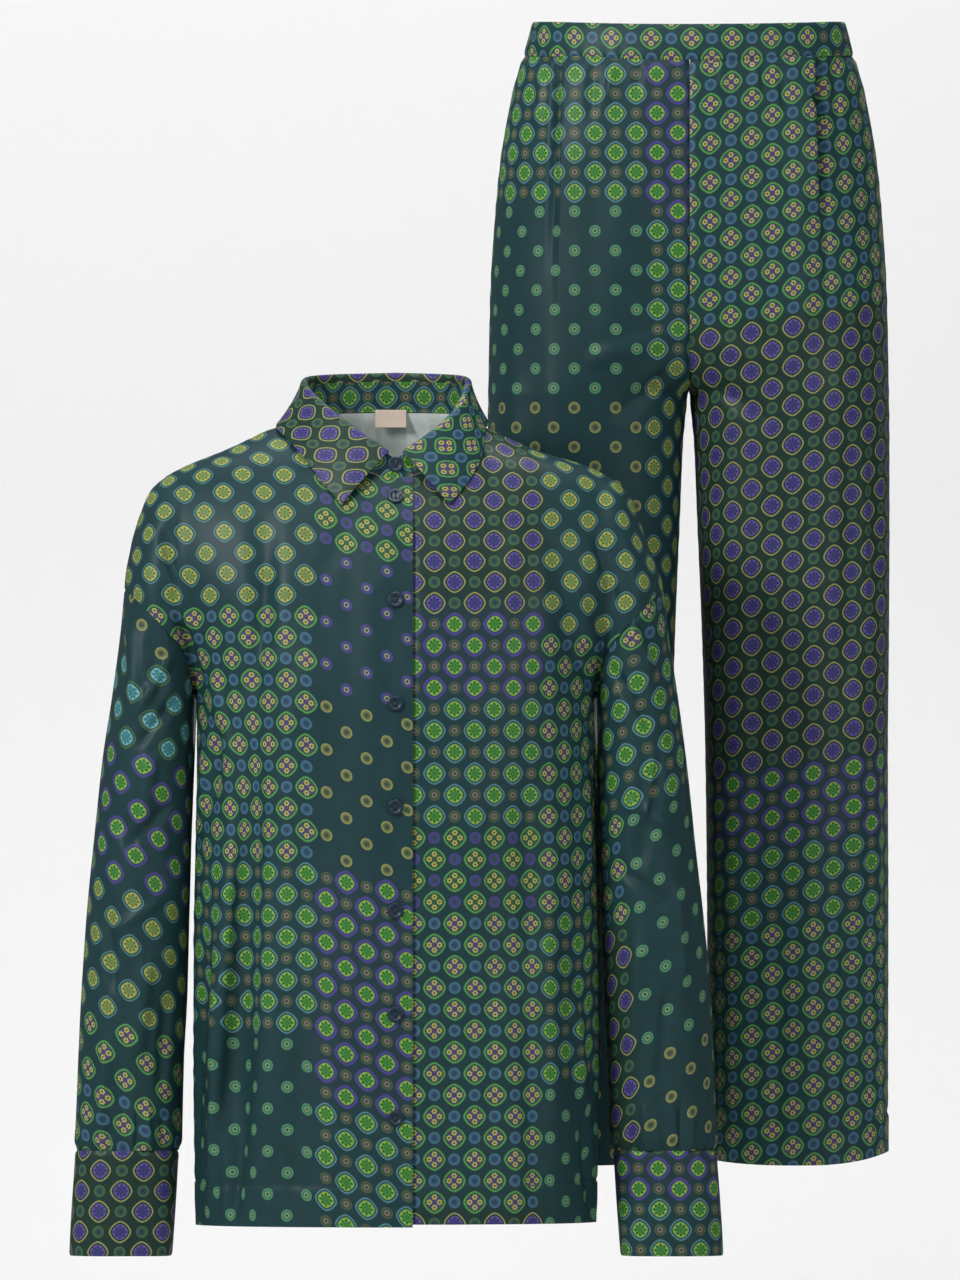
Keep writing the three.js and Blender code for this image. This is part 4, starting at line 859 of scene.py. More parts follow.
# %% Blank label
label_x = np.linspace(-19, 9, fine(40))[None]
label_down = np.linspace(0, 1, fine(26))[:, None]
label_y = super_depth(label_x, NECK_HALF, NECK_BACK_Y, 2.0) - CLOTH - 1.9 - 1.1 * label_down ** 2
label_grid = np.stack([label_x + 0 * label_down, label_y, 28 - 16 * label_down + 0 * label_x], axis=-1)
label_relief = 0.12 * np.sin(label_grid[..., 0] * 1.1) * (1 - label_down) - 0.3 * np.exp(-(label_down / 0.05) ** 2)
label = cloth_shell("neck_label_ribbon", label_grid, grid_flat(label_grid), 0.7, (0, -1, 0), relief=label_relief)

# %% [markdown]
# ## Trousers
# Each leg is an oval tube at the hem. Towards the hip the two ovals widen until they are one. A front
# leg has one pleat: the cloth on its inner side rises to a folded edge and drops sharply behind it.

# %% Trouser tables
TROUSERS = table("z half inner front back square", [
    (392, 142.5, 0, 88, 90, 2.1), (361, 150.5, 0, 94, 98, 2.1), (330, 160.3, 0, 97, 108, 2.2),
    (298, 167, 0, 99, 116, 2.2), (258, 173.5, 0, 100, 121, 2.3), (198, 179, 0, 99, 120, 2.3),
    (140, 182.5, 0, 96, 114, 2.4), (44, 184.5, 1.2, 90, 100, 2.5), (0, 185, 5, 88, 94, 2.6),
    (-72, 185, 8, 86, 89, 2.7), (-182, 184.5, 12.5, 84, 85, 2.8), (-292, 183.5, 15.5, 83, 84, 2.8),
    (-430, 184, 17, 83, 84, 2.7), (-664, 183.6, 18, 84, 85, 2.6),
])
PLEAT_LINE = table("z x", [(361, 117), (300, 119), (200, 121), (60, 125)])
LEG_FOLDS = table(FOLD_COLUMNS, [
    (FRONT, -148, 120, -140, -180, 22, -4), (FRONT, -128, 40, -112, -640, 26, 4),
    (FRONT, 118, -20, 104, -640, 28, 4), (FRONT, 150, 60, 152, -240, 20, -4),
    (BACK, -120, 90, -108, -420, 26, -6), (BACK, 116, 70, 108, -460, 26, -6),
])
LEG_CREASES = table(FOLD_COLUMNS, [
    # short gathers under the waistband, and the pinch at the end of the pleat's stitching
    (FRONT, 114, 322, 124, 298, 4, -4.0),
    (FRONT, -70, 352, -74, 318, 7, 1.6), (FRONT, -46, 352, -48, 326, 6, -1.2),
    (FRONT, -88, 352, -90, 300, 8, -1.4), (FRONT, -134, 352, -140, 290, 6, 1.6),
    (FRONT, 60, 352, 62, 320, 7, 1.5), (FRONT, 84, 352, 88, 306, 7, -1.5), (FRONT, 30, 352, 30, 330, 6, 1.2),
    (FRONT, 132, 352, 138, 286, 6, -1.6),
    # across the top of the legs and down them
    (FRONT, 14, 60, 70, 20, 12, -2.0), (FRONT, -16, 64, -64, 26, 12, -2.0), (FRONT, 18, 90, 92, 70, 14, 1.8),
    (FRONT, -22, 96, -86, 76, 14, 1.6), (FRONT, 96, 240, 100, 90, 26, 2.0), (FRONT, -60, 250, -70, 60, 30, 1.6),
    (FRONT, 60, -60, 66, -420, 22, -1.8), (FRONT, 152, -180, 160, -480, 14, 2.2),
    (FRONT, 140, -400, 148, -660, 14, -2.2), (FRONT, 40, -300, 44, -660, 18, 1.8),
    (FRONT, 84, -480, 80, -662, 16, -1.6), (FRONT, -60, -100, -70, -500, 24, 1.8),
    (FRONT, -156, -260, -160, -560, 14, -2.2), (FRONT, 168, 20, 172, -160, 9, -2.2),
    (FRONT, 170, -300, 172, -440, 8, 2.2),
    # back
    (BACK, -30, 330, -34, 200, 22, -2.0), (BACK, 34, 330, 40, 190, 22, -2.2), (BACK, -90, 340, -96, 240, 18, 2.0),
    (BACK, 96, 340, 100, 230, 18, 2.0), (BACK, 20, 60, 90, 96, 14, -2.6), (BACK, -20, 60, -88, 90, 14, -2.6),
    (BACK, 30, 34, 100, 60, 12, 2.2), (BACK, -26, 30, -96, 52, 12, 2.2), (BACK, 74, -120, 66, -560, 24, 2.2),
    (BACK, -74, -80, -66, -520, 24, 2.2), (BACK, 150, -100, 146, -400, 16, -2.6),
    (BACK, -148, -140, -150, -480, 16, -2.4), (BACK, 44, -380, 50, -660, 18, -2.0),
    (BACK, -44, -360, -50, -660, 18, -2.0), (BACK, 120, -460, 116, -660, 14, 2.4),
    (BACK, -122, -440, -116, -660, 14, 2.4),
    # short gathers under the back of the waistband
    (BACK, -120, 352, -124, 310, 7, -1.8), (BACK, -60, 352, -62, 316, 7, 1.6), (BACK, 8, 352, 8, 322, 7, 1.4),
    (BACK, 66, 352, 70, 314, 7, -1.6), (BACK, 124, 352, 128, 306, 7, 1.8),
])
TROUSERS_X, TROUSERS_Y = 268.4, 238
WAIST_Z, WAISTBAND_HEIGHT, CROTCH_Z, TROUSER_HEM_Z = 387, 31, 44, -664

# %% Leg panels


BAND_LAP = 1.3
SEAM_LAP = 0.9


def leg_section(z):
    """Middle, radius and half width of a leg; above the crotch it widens into the hip."""
    half, inner = read(TROUSERS, "z", "half", z), read(TROUSERS, "z", "inner", z)
    joined = smooth((z - CROTCH_Z) / (WAIST_Z - CROTCH_Z) / 0.62)
    radius = mix((half - inner) / 2, half, np.sqrt(joined))
    return half - radius, radius, half


def leg_share(out, square):
    return np.sign(out) * np.abs(out) ** (2 / square)


def leg_angle(centre, radius, square, x):
    share = np.clip((x - centre) / radius, -1, 1)
    return np.arccos(np.sign(share) * np.abs(share) ** (square / 2))


def pleat_height(x, z):
    """Rise of the cloth towards the pleat's edge, with a step down beyond it."""
    line = read(PLEAT_LINE, "z", "x", z)
    strength = smooth((z - 60) / (361 - 60) / 0.8)
    inside = line - x
    return np.where(inside < 0, 0, 5 * strength * smooth(1 - inside / 62))


def sew_leg(name, side, face):
    """One leg panel from the waistband seam to the hem."""
    seam = WAIST_Z - WAISTBAND_HEIGHT
    level = np.concatenate([np.linspace(seam + BAND_LAP, CROTCH_Z, fine(80))[:-1],
                            np.linspace(CROTCH_Z, TROUSER_HEM_Z, fine(150))])[:, None]
    centre, radius, half = leg_section(level)
    square = read(TROUSERS, "z", "square", level)
    shift = -side * 5.0 * smooth((level - CROTCH_Z - 20) / 60) if face > 0 else 0.0
    start = np.where(centre - radius < 0, leg_angle(centre, radius, square, shift), math.pi)
    pleat_x = read(PLEAT_LINE, "z", "x", level)
    before, after = (leg_angle(centre, radius, square, pleat_x + d) for d in (-1.2, 1.2))
    inside = mix(start, before, np.linspace(0, 1, fine(52))[None])
    outside = mix(after, 0, np.linspace(0, 1, fine(44))[None])
    angle = np.concatenate([inside, outside], axis=1)
    x = centre + radius * leg_share(np.cos(angle), square)
    if face < 0:  # the two fronts are drawn together down to the crotch, the right one a little under
        gap = x[:, :1] + (SEAM_LAP if side < 0 else -0.1)
        x = x - gap * smooth((level - CROTCH_Z + 4) / 12) * np.exp(-((x - x[:, :1]) / 9) ** 2)
    depth = read(TROUSERS, "z", "front" if face < 0 else "back", level) * leg_share(np.sin(angle), square)
    if face < 0:  # the seam between the fronts lies in a groove
        groove = (4.0 if side < 0 else 1.6) * smooth((level - CROTCH_Z + 4) / 12)
        depth = depth - groove * np.exp(-((x - x[:, :1]) / 2.6) ** 2) * smooth(depth / 40)
    dip = -6 * np.maximum(0, 1 - (seam - level) / 60) * np.maximum(0, 1 - (x / half) ** 2)
    out = np.cos(angle)
    hem_rise = np.where(out > 0, 12, 5) * out ** 2 + (8 * np.sin(angle) if face > 0 else 0)
    hem_share = np.maximum(0, (CROTCH_Z - level) / (CROTCH_Z - TROUSER_HEM_Z))
    pleat = pleat_height(x, level) if face < 0 else 0 * x
    fold = fold_relief(LEG_FOLDS, face, side * x, level) + pleat
    depth = depth + fold * np.minimum(1, depth / 40)
    z = level + dip + hem_rise * hem_share ** 2
    grid = np.stack([side * x + TROUSERS_X, face * depth + TROUSERS_Y, z], axis=-1)
    steps = np.hypot(np.diff(x, axis=1), np.diff(depth, axis=1))
    around = np.concatenate([0 * level, np.cumsum(steps, axis=1)], axis=1)
    # the print is laid from a line 92 mm out from the middle
    at_92 = np.array([np.interp(92, row_x, row_a) for row_x, row_a in zip(x, around)])
    around = around - at_92[:, None] + 92
    flat = np.stack([around, seam - z], axis=-1) / 1000
    to_side, to_inseam = around[:, -1:] - around, around - around[:, :1]
    to_hem = level - TROUSER_HEM_Z
    to_band = seam - level
    relief = CREASE_GAIN * fold_relief(LEG_CREASES, face, side * x, level) * np.minimum(1, depth / 30) * smooth(to_band / 12)
    relief *= smooth(to_side / 8) * smooth(to_inseam / 6)
    relief += seam_dip(to_side) + pucker(level, to_side, 24, 0.35, 9)
    relief += seam_dip(to_inseam, 0.4) + pucker(level + 9, to_inseam, 21, 0.35, 9)
    relief += seam_dip(to_band, 2.3, 2.6) + pucker(around, to_band, 13, 0.5, 14) * smooth(to_band / 7)
    if face < 0:
        past_pleat = x - read(PLEAT_LINE, "z", "x", level)
        held = 0.6 * smooth((level - 130) / 120) if side < 0 else smooth((level - 140) / 150)
        held = held * smooth(to_band / 12)
        relief -= 8.0 * held * np.exp(-((past_pleat - (4.8 if side < 0 else 3.2)) / 2.8) ** 2)
        relief -= 2.0 * held * np.exp(-((past_pleat - 16) / 11) ** 2)
    relief += 0.7 * smooth((HEM_DEPTH - to_hem) / 1.2) + stitch_dent(to_hem - HEM_DEPTH - 1.2, 1.6)
    relief += pucker(around, to_hem - HEM_DEPTH, 14, 0.2, 12)
    return cloth_shell(name, grid, flat, SHIRT_WALL, (side, face, 0), relief=relief)


legs = {}
for word, side in (("right", -1), ("left", 1)):
    for part, face in (("front", FRONT), ("back", BACK)):
        legs[side, face] = sew_leg(f"trouser_{part}_{word}_cloth", side, face)

# %% Waistband


def sew_waistband(name, face):
    """Front or back half of the waistband, a doubled band."""
    share = np.linspace(0, 1, fine(20))[:, None]
    level = WAIST_Z - share * WAISTBAND_HEIGHT
    angle = math.pi * (1 - np.linspace(0, 1, fine(150)))[None]
    half, square = read(TROUSERS, "z", "half", level), read(TROUSERS, "z", "square", level)
    depth = read(TROUSERS, "z", "front" if face < 0 else "back", level)
    x = half * leg_share(np.cos(angle), square)
    dip = -mix(4, 6, share) * np.maximum(0, 1 - (x / half) ** 2)
    y = face * (depth * leg_share(np.sin(angle), square))
    grid = np.stack([x + TROUSERS_X, y + TROUSERS_Y, level + dip], axis=-1)
    flat = grid_flat(grid, middle=grid.shape[1] // 2)
    around = flat[..., 0] * 1000
    to_end = np.minimum(around - around[:, :1], around[:, -1:] - around)
    relief = 0.6 * np.sin(math.pi * share) ** 0.5 - 0.7 * np.exp(-(share * 31 / 1.2) ** 2)
    relief = relief + seam_dip((1 - share) * 31, 1.0) + pucker(around, (1 - share) * 31, 13, 0.5, 12)
    relief = relief + seam_dip(to_end) + 0.4 * np.sin(around / 23 + 1)
    return cloth_shell(name, grid, flat, BAND_WALL, (0, face, 0), relief=relief)


bands = {face: sew_waistband(f"waistband_{word}_cloth", face) for word, face in (("front", FRONT), ("back", BACK))}

# %% [markdown]
# ## Buttons
# A shirt button is turned from a small block: a broad rounded rim, a shallow well and two holes. The
# profile is spun round, and two rods cut the holes with a Boolean modifier. A thread bar crosses the
# well between the holes.

# %% Turned button
BUTTON_COUNT, BUTTON_RADIUS, BUTTON_THICKNESS = 8, 7.25, 2.8


def spun(name, profile, turns):
    """Closed solid from a side profile spun round the z axis, in metres."""
    points, faces = [], []
    for r, z in profile:
        for t in range(turns):
            angle = 2 * math.pi * t / turns
            points.append((r * math.cos(angle) / 1000, r * math.sin(angle) / 1000, z / 1000))
    for ring in range(len(profile) - 1):
        for t in range(turns):
            a, b = ring * turns + t, ring * turns + (t + 1) % turns
            faces.append((a, b, b + turns, a + turns))
    faces.append(tuple(range(turns))[::-1])
    faces.append(tuple(range((len(profile) - 1) * turns, len(profile) * turns)))
    mesh = bpy.data.meshes.new(name)
    mesh.from_pydata(points, [], faces)
    return mesh


def button_profile():
    """Half section of the button from the middle of its back to the middle of its well."""
    rim = [(6.1 + 1.15 * math.cos(a), 1.4 + 1.3 * math.sin(a)) for a in np.radians(np.arange(-90, 91, 12))]
    well = [(4.9, 2.66), (4.35, 2.4), (3.95, 2.05), (3.6, 1.85), (2.8, 1.78), (1.2, 1.75)]
    return [(1.5, 0.1), (4.5, 0.1), *rim, *well]


def two_hole_button():
    """Mesh of the button with its two holes cut."""
    body = bpy.data.objects.new("button_blank", spun("button_blank", button_profile(), 48))
    bpy.context.scene.collection.objects.link(body)
    rods = []
    for y in (-2.5, 2.5):
        rod = bpy.data.objects.new("hole_rod", spun("hole_rod", [(1.0, -2), (1.0, 5)], 20))
        rod.location = (0, y / 1000, 0)
        bpy.context.scene.collection.objects.link(rod)
        cut = body.modifiers.new("hole", "BOOLEAN")
        cut.operation, cut.object, cut.solver = "DIFFERENCE", rod, "EXACT"
        rods.append(rod)
    bpy.context.view_layer.update()
    drilled = bpy.data.meshes.new_from_object(body.evaluated_get(bpy.context.evaluated_depsgraph_get()))
    for unused in (*rods, body):
        bpy.data.objects.remove(unused)
    drilled.polygons.foreach_set("use_smooth", [True] * len(drilled.polygons))
    drilled.set_sharp_from_angle(angle=math.radians(40))
    return drilled


button_mesh = two_hole_button()
print("triangles in a button:", sum(len(p.vertices) - 2 for p in button_mesh.polygons))

# %% Thread through the buttons, then place them


def thread_bar(half_length, radius, sag, strands):
    """A few parallel strands that bridge two holes and dive into them."""
    points, faces = [], []
    for s in range(strands):
        shift = (s - (strands - 1) / 2) * radius * 1.7
        base = len(points)
        path = [(shift, -half_length, -1.2), (shift, -half_length * 0.96, 0.25), (shift, -half_length * 0.6, sag),
                (shift, 0, sag * 1.15), (shift, half_length * 0.6, sag), (shift, half_length * 0.96, 0.25),
                (shift, half_length, -1.2)]
        for px, py, pz in path:
            for t in range(8):
                a = 2 * math.pi * t / 8
                points.append(((px + radius * math.cos(a)) / 1000, py / 1000, (pz + radius * math.sin(a)) / 1000))
        for ring in range(len(path) - 1):
            for t in range(8):
                a, b = base + ring * 8 + t, base + ring * 8 + (t + 1) % 8
                faces.append((a, b, b + 8, a + 8))
        faces.append(tuple(base + t for t in range(8))[::-1])
        faces.append(tuple(base + (len(path) - 1) * 8 + t for t in range(8)))
    mesh = bpy.data.meshes.new("thread_bar")
    mesh.from_pydata(points, [], faces)
    mesh.polygons.foreach_set("use_smooth", [True] * len(faces))
    return mesh


def front_y(z):
    """Depth of the top front at the middle line, by height."""
    z = np.asarray(z, float)
    return -(folded_depth(np.zeros_like(z), z, FRONT) + 2.2)


thread_mesh = thread_bar(2.5, 0.28, 0.75, 3)
buttons, threads = [], []
for i in range(BUTTON_COUNT):
    z = -22.7 if i == 0 else -51.9 - (i - 1) * 93.8
    if i == 0:
        y_at = [float(collar_point(np.array([360.0]), np.array([h + 35.0]))[0, 1]) for h in (z - 7, z, z + 7)]
    else:
        y_at = [float(front_y(h)) for h in (z - 7, z, z + 7)]
    slope = math.atan2(y_at[2] - y_at[0], 14)
    for mesh, store, word, out in ((button_mesh, buttons, "button", 0.2), (thread_mesh, threads, "button_thread", 2.0)):
        piece = bpy.data.objects.new(f"{word}_{i + 1}_turned" if word == "button" else f"{word}_{i + 1}", mesh)
        piece.rotation_euler = (math.radians(90) - slope, math.radians((i * 37) % 11 - 5), 0)
        turn = piece.rotation_euler.to_matrix()
        piece.location = Vector((0, y_at[1], z)) / 1000 + turn @ Vector((0, 0, out / 1000))
        bpy.context.scene.collection.objects.link(piece)
        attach(piece, "root")
        store.append(piece)
print("buttons:", len(buttons))

# %% [markdown]
# ## Topstitching
# Rows of small stitches hold the hems. Each stitch is a short capsule that lies half sunk in its dent.
# They are all one mesh per row, because thousands of separate objects would slow Blender down.

# %% Stitch rows
STITCH_LENGTH, STITCH_GAP, STITCH_RADIUS = 2.3, 0.9, 0.24


def stitch_row(name, path, normal):
    """One mesh of small capsules along a path, in millimetres."""
    steps = np.linalg.norm(np.diff(path, axis=0), axis=1)
    way = np.concatenate([[0], np.cumsum(steps)])
    starts = np.arange(1.0, way[-1] - STITCH_LENGTH, STITCH_LENGTH + STITCH_GAP)
    at = lambda distance, values: np.stack([np.interp(distance, way, values[:, i]) for i in range(3)], axis=1)
    a, b = at(starts, path), at(starts + STITCH_LENGTH, path)
    n = at(starts + STITCH_LENGTH / 2, normal)
    along = (b - a) / np.linalg.norm(b - a, axis=1, keepdims=True)
    n -= (n * along).sum(axis=1, keepdims=True) * along
    n /= np.linalg.norm(n, axis=1, keepdims=True)
    across = np.cross(along, n)
    rings = [(0.0, 0.35, -0.12), (0.25, 1.0, 0.1), (0.75, 1.0, 0.1), (1.0, 0.35, -0.12)]
    sides = 6
    points = []
    for share, thick, lift in rings:
        centre = a + (b - a) * share + n * lift
        for t in range(sides):
            angle = 2 * math.pi * t / sides
            points.append(centre + (across * math.cos(angle) + n * math.sin(angle)) * STITCH_RADIUS * thick)
    points = np.stack(points, axis=1)
    count = len(rings) * sides
    faces = []
    for ring in range(len(rings) - 1):
        for t in range(sides):
            p, q = ring * sides + t, ring * sides + (t + 1) % sides
            faces.append((p, q, q + sides, p + sides))
    caps = [tuple(range(sides))[::-1], tuple(range(count - sides, count))]
    all_faces = [tuple(i + s * count for i in face) for s in range(len(points)) for face in faces + caps]
    mesh = bpy.data.meshes.new(name)
    mesh.from_pydata(points.reshape(-1, 3) / 1000, [], all_faces)
    mesh.polygons.foreach_set("use_smooth", [True] * len(all_faces))
    piece = bpy.data.objects.new(name, mesh)
    bpy.context.scene.collection.objects.link(piece)
    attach(piece, "root")
    return piece


def row_at(sewn, height):
    """Grid row of a sewn piece that lies nearest to a height above its lowest row, with its normals."""
    grid, normal = sewn[1], sewn[2]
    row = int(np.argmin(np.abs(grid[:, 0, 2] - grid[-1, 0, 2] - height)))
    return grid[row], normal[row]


stitch_rows = {}
for key, sewn in (("shirt_front_right", fronts[-1]), ("shirt_front_left", fronts[1]), ("shirt_back", back)):
    stitch_rows[key] = stitch_row(f"{key}_hem_stitches", *row_at(sewn, HEM_DEPTH))
for (side, face), sewn in legs.items():
    key = f"trouser_{'front' if face < 0 else 'back'}_{'right' if side < 0 else 'left'}"
    stitch_rows[key] = stitch_row(f"{key}_hem_stitches", *row_at(sewn, HEM_DEPTH))
print("stitch rows:", len(stitch_rows))

# %% [markdown]
# ## The print
# The satin is printed with small round medallions on a chessboard: large ones on the even squares and
# small discs on the odd ones. Patches of the cloth carry different medallions. A printed image would
# be one way, but a drawing made of nodes stays sharp at any distance. The first node group finds the
# nearest large and small motif of any place on the flat cloth. The second draws them. Between the
# two, each panel's strips say which kind of medallion stands where.

# %% Dyes and kinds of medallion


def dye(r, g, b):
    """A colour from its screen values, turned into the light values that nodes use."""
    return tuple((c / 255 / 12.92) if c <= 10 else ((c / 255 + 0.055) / 1.055) ** 2.4 for c in (r, g, b))


TEAL, FOREST, DUSK, NIGHT, PLUM = dye(36, 66, 70), dye(38, 62, 54), dye(41, 64, 72), dye(32, 46, 64), dye(56, 56, 98)
PURPLE, LILAC, DEEP, VIOLET, MAUVE = dye(68, 64, 124), dye(104, 92, 150), dye(50, 50, 104), dye(86, 76, 152), dye(78, 68, 108)
YELLOW, STRAW, LIME, GREEN, LEAF = dye(176, 178, 100), dye(172, 172, 92), dye(150, 178, 84), dye(72, 138, 58), dye(38, 88, 44)
MINT, MOSS, PINE, OLIVE, BROWN = dye(98, 172, 84), dye(88, 122, 80), dye(56, 86, 64), dye(94, 98, 70), dye(64, 56, 48)
BLUE, SLATE, NAVY, SEA, FOAM = dye(98, 154, 176), dye(60, 92, 120), dye(44, 60, 96), dye(70, 140, 144), dye(122, 180, 184)
INK, ROSE, RUST, FERN, SAGE, STEEL = dye(24, 36, 40), dye(158, 130, 118), dye(120, 64, 52), dye(108, 150, 78), dye(76, 132, 92), dye(84, 128, 150)

KINDS = {
    # kind: ground, gap, fill, rim spots, inner dots, ring, half its width, florets, large ones,
    #       disc edge, disc, disc middle, discs
    "A": (FOREST, NIGHT, PURPLE, LILAC, DEEP, YELLOW, 0.6, 0, 1, MOSS, PINE, NAVY, 1),
    "B": (DUSK, PLUM, GREEN, LIME, LEAF, VIOLET, 1.15, 0, 1, OLIVE, PINE, ROSE, 1),
    "C": (TEAL, PINE, GREEN, LIME, LEAF, BLUE, 0.55, 0, 1, OLIVE, PINE, ROSE, 1),
    "D": (TEAL, PINE, MAUVE, STRAW, BROWN, MINT, 0.75, 1, 1, STEEL, SLATE, NAVY, 1),
    "d": (TEAL, PINE, PINE, STRAW, BROWN, MINT, 0.75, 1, 1, VIOLET, PURPLE, PINE, 1),
    "N": (TEAL, PINE, MAUVE, STRAW, BROWN, MINT, 0.75, 1, 1, TEAL, TEAL, TEAL, 0),
    "E": (TEAL, PINE, FERN, STRAW, RUST, BLUE, 0.35, 0, 1, TEAL, TEAL, TEAL, 0),
    "F": (TEAL, TEAL, TEAL, TEAL, TEAL, TEAL, 0.5, 0, 0, VIOLET, PURPLE, YELLOW, 1),
    "G": (TEAL, TEAL, TEAL, TEAL, TEAL, TEAL, 0.5, 0, 0, YELLOW, OLIVE, PINE, 1),
    "H": (TEAL, TEAL, TEAL, TEAL, TEAL, TEAL, 0.5, 0, 0, MINT, SLATE, LIME, 1),
    "T": (TEAL, PINE, SEA, FOAM, SLATE, MOSS, 0.5, 0, 1, TEAL, TEAL, TEAL, 0),
    "P": (TEAL, PLUM, GREEN, LIME, LEAF, VIOLET, 1.0, 0, 1, TEAL, TEAL, TEAL, 0),
}
KIND_LIST = list(KINDS)
KIND_STEP = 1 / 16
print("kinds of medallion:", len(KIND_LIST))

# %% Node helpers


class Sketch:
    """Adds nodes to a tree with short calls; every value is a number or another node's output."""

    def __init__(self, tree):
        self.tree = tree

    def node(self, kind, **settings):
        made = self.tree.nodes.new(kind)
        for key, value in settings.items():
            setattr(made, key, value)
        return made

    def feed(self, socket, value):
        if isinstance(value, bpy.types.NodeSocket):
            self.tree.links.new(value, socket)
        else:
            socket.default_value = value

    def do(self, operation, *values):
        made = self.node("ShaderNodeMath", operation=operation)
        for i, value in enumerate(values):
            self.feed(made.inputs[i], value)
        return made.outputs[0]

    def step(self, value, start, end):
        """Soft step from 1 below start to 0 above end."""
        made = self.node("ShaderNodeMapRange", interpolation_type="SMOOTHSTEP")
        for i, part in enumerate((value, start, end, 1.0, 0.0)):
            self.feed(made.inputs[i], part)
        return made.outputs[0]

    def blend(self, share, a, b):
        """Mix of two colours."""
        made = self.node("ShaderNodeMix", data_type="RGBA")
        for socket, value in ((made.inputs[0], share), (made.inputs[6], a), (made.inputs[7], b)):
            self.feed(socket, (*value, 1) if isinstance(value, tuple) and len(value) == 3 else value)
        return made.outputs[2]

    def card(self, place, stops, interpolation="CONSTANT"):
        """A row of swatches on a ColorRamp: each stop is (place, colour)."""
        made = self.node("ShaderNodeValToRGB")
        ramp = made.color_ramp
        stops = stops if len(stops) > 1 else [stops[0], (1.0, stops[0][1])]
        ramp.interpolation = interpolation
        while len(ramp.elements) < len(stops):
            ramp.elements.new(1.0)
        for element, (at, colour) in zip(ramp.elements, sorted(stops, key=lambda s: s[0])):
            element.position = at
            element.color = (*colour, 1)
        self.feed(made.inputs[0], place)
        return made.outputs[0]


def new_group(name, inputs, outputs):
    """Empty node group with named sockets; returns its sketch, its input sockets and its output node."""
    tree = bpy.data.node_groups.new(name, "ShaderNodeTree")
    for direction, names in (("INPUT", inputs), ("OUTPUT", outputs)):
        for socket, kind in names:
            tree.interface.new_socket(socket, in_out=direction, socket_type=kind)
    start, end = tree.nodes.new("NodeGroupInput"), tree.nodes.new("NodeGroupOutput")
    return Sketch(tree), start.outputs, end.inputs


# %% Group that finds the nearest motifs
NUMBER, COLOUR = "NodeSocketFloat", "NodeSocketColor"
PLACES = [("large x", NUMBER), ("large y", NUMBER), ("large across", NUMBER), ("large down", NUMBER),
          ("small x", NUMBER), ("small y", NUMBER), ("small across", NUMBER), ("small down", NUMBER)]
sketch, given, result = new_group(
    "nearest_motifs", [("across", NUMBER), ("down", NUMBER), ("pitch across", NUMBER), ("pitch down", NUMBER)], PLACES)
p = sketch.do("DIVIDE", given[0], given[2])
q = sketch.do("DIVIDE", given[1], given[3])
diagonal_a = sketch.do("MULTIPLY", sketch.do("ADD", p, q), 0.5)
diagonal_b = sketch.do("MULTIPLY", sketch.do("SUBTRACT", p, q), 0.5)
for first, shift in ((0, 0.0), (4, 0.5)):
    a = sketch.do("ADD", sketch.do("ROUND", sketch.do("SUBTRACT", diagonal_a, shift)), shift)
    b = sketch.do("ADD", sketch.do("ROUND", sketch.do("SUBTRACT", diagonal_b, shift)), shift)
    across = sketch.do("MULTIPLY", sketch.do("ADD", a, b), given[2])
    down = sketch.do("MULTIPLY", sketch.do("SUBTRACT", a, b), given[3])
    sketch.feed(result[first], sketch.do("SUBTRACT", given[0], across))
    sketch.feed(result[first + 1], sketch.do("SUBTRACT", given[1], down))
    sketch.feed(result[first + 2], across)
    sketch.feed(result[first + 3], down)
nearest_motifs = sketch.tree

# %% Group that draws the medallions
EDGE = 0.35
sketch, given, result = new_group(
    "draw_motifs",
    [("large x", NUMBER), ("large y", NUMBER), ("small x", NUMBER), ("small y", NUMBER),
     ("large kind", NUMBER), ("small kind", NUMBER), ("ground", COLOUR)],
    [("colour", COLOUR)],
)
GAP, FILL, RIM, DOTS, RING, RING_HALF, FLORETS, LARGE, DISC_EDGE, DISC, DISC_MIDDLE, DISCS = range(1, 13)


def swatch(column, kind):
    """The colour or number of one column for the kind at hand."""
    stops = []
    for i, key in enumerate(KIND_LIST):
        value = KINDS[key][column]
        stops.append((max(0.0, (i - 0.5) * KIND_STEP), value if isinstance(value, tuple) else (value,) * 3))
    return sketch.card(kind, stops)


def waves(angle, count, low, high, turned=0.0):
    """Goes between low and high, count times round the motif."""
    wave = sketch.do("COSINE", sketch.do("MULTIPLY_ADD", angle, count, turned))
    return sketch.do("MULTIPLY_ADD", wave, (high - low) / 2, (high + low) / 2)


def ring_mask(distance, middle, half):
    """1 on a ring round the motif and 0 off it."""
    off = sketch.do("ABSOLUTE", sketch.do("SUBTRACT", distance, middle))
    return sketch.step(sketch.do("SUBTRACT", off, half), -EDGE / 2, EDGE)


def both(a, b):
    return sketch.do("MULTIPLY", a, b)


def length(a, b):
    return sketch.do("SQRT", sketch.do("ADD", both(a, a), both(b, b)))


# the small disc: a ticked edge, a plain disc and a middle
small_kind = given[5]
radius = length(given[2], given[3])
small_angle = sketch.do("ARCTAN2", given[3], given[2])
radius = sketch.do("ADD", radius, waves(small_angle, 16.0, -0.25, 0.25))
disc = sketch.blend(both(waves(small_angle, 16.0, 0.0, 0.65), sketch.step(radius, 4.6, 5.0)),
                    swatch(DISC, small_kind), swatch(0, small_kind))
rays = both(waves(small_angle, 16.0, 0.0, 0.55), ring_mask(radius, 3.5, 0.8))
disc = sketch.blend(rays, disc, swatch(DISC_EDGE, small_kind))
disc = sketch.blend(both(ring_mask(radius, 4.75, 0.4), waves(small_angle, 16.0, 0.45, 1.0)), disc, swatch(DISC_EDGE, small_kind))
disc = sketch.blend(both(ring_mask(radius, 1.9, 0.45), 0.85), disc, swatch(DISC_MIDDLE, small_kind))
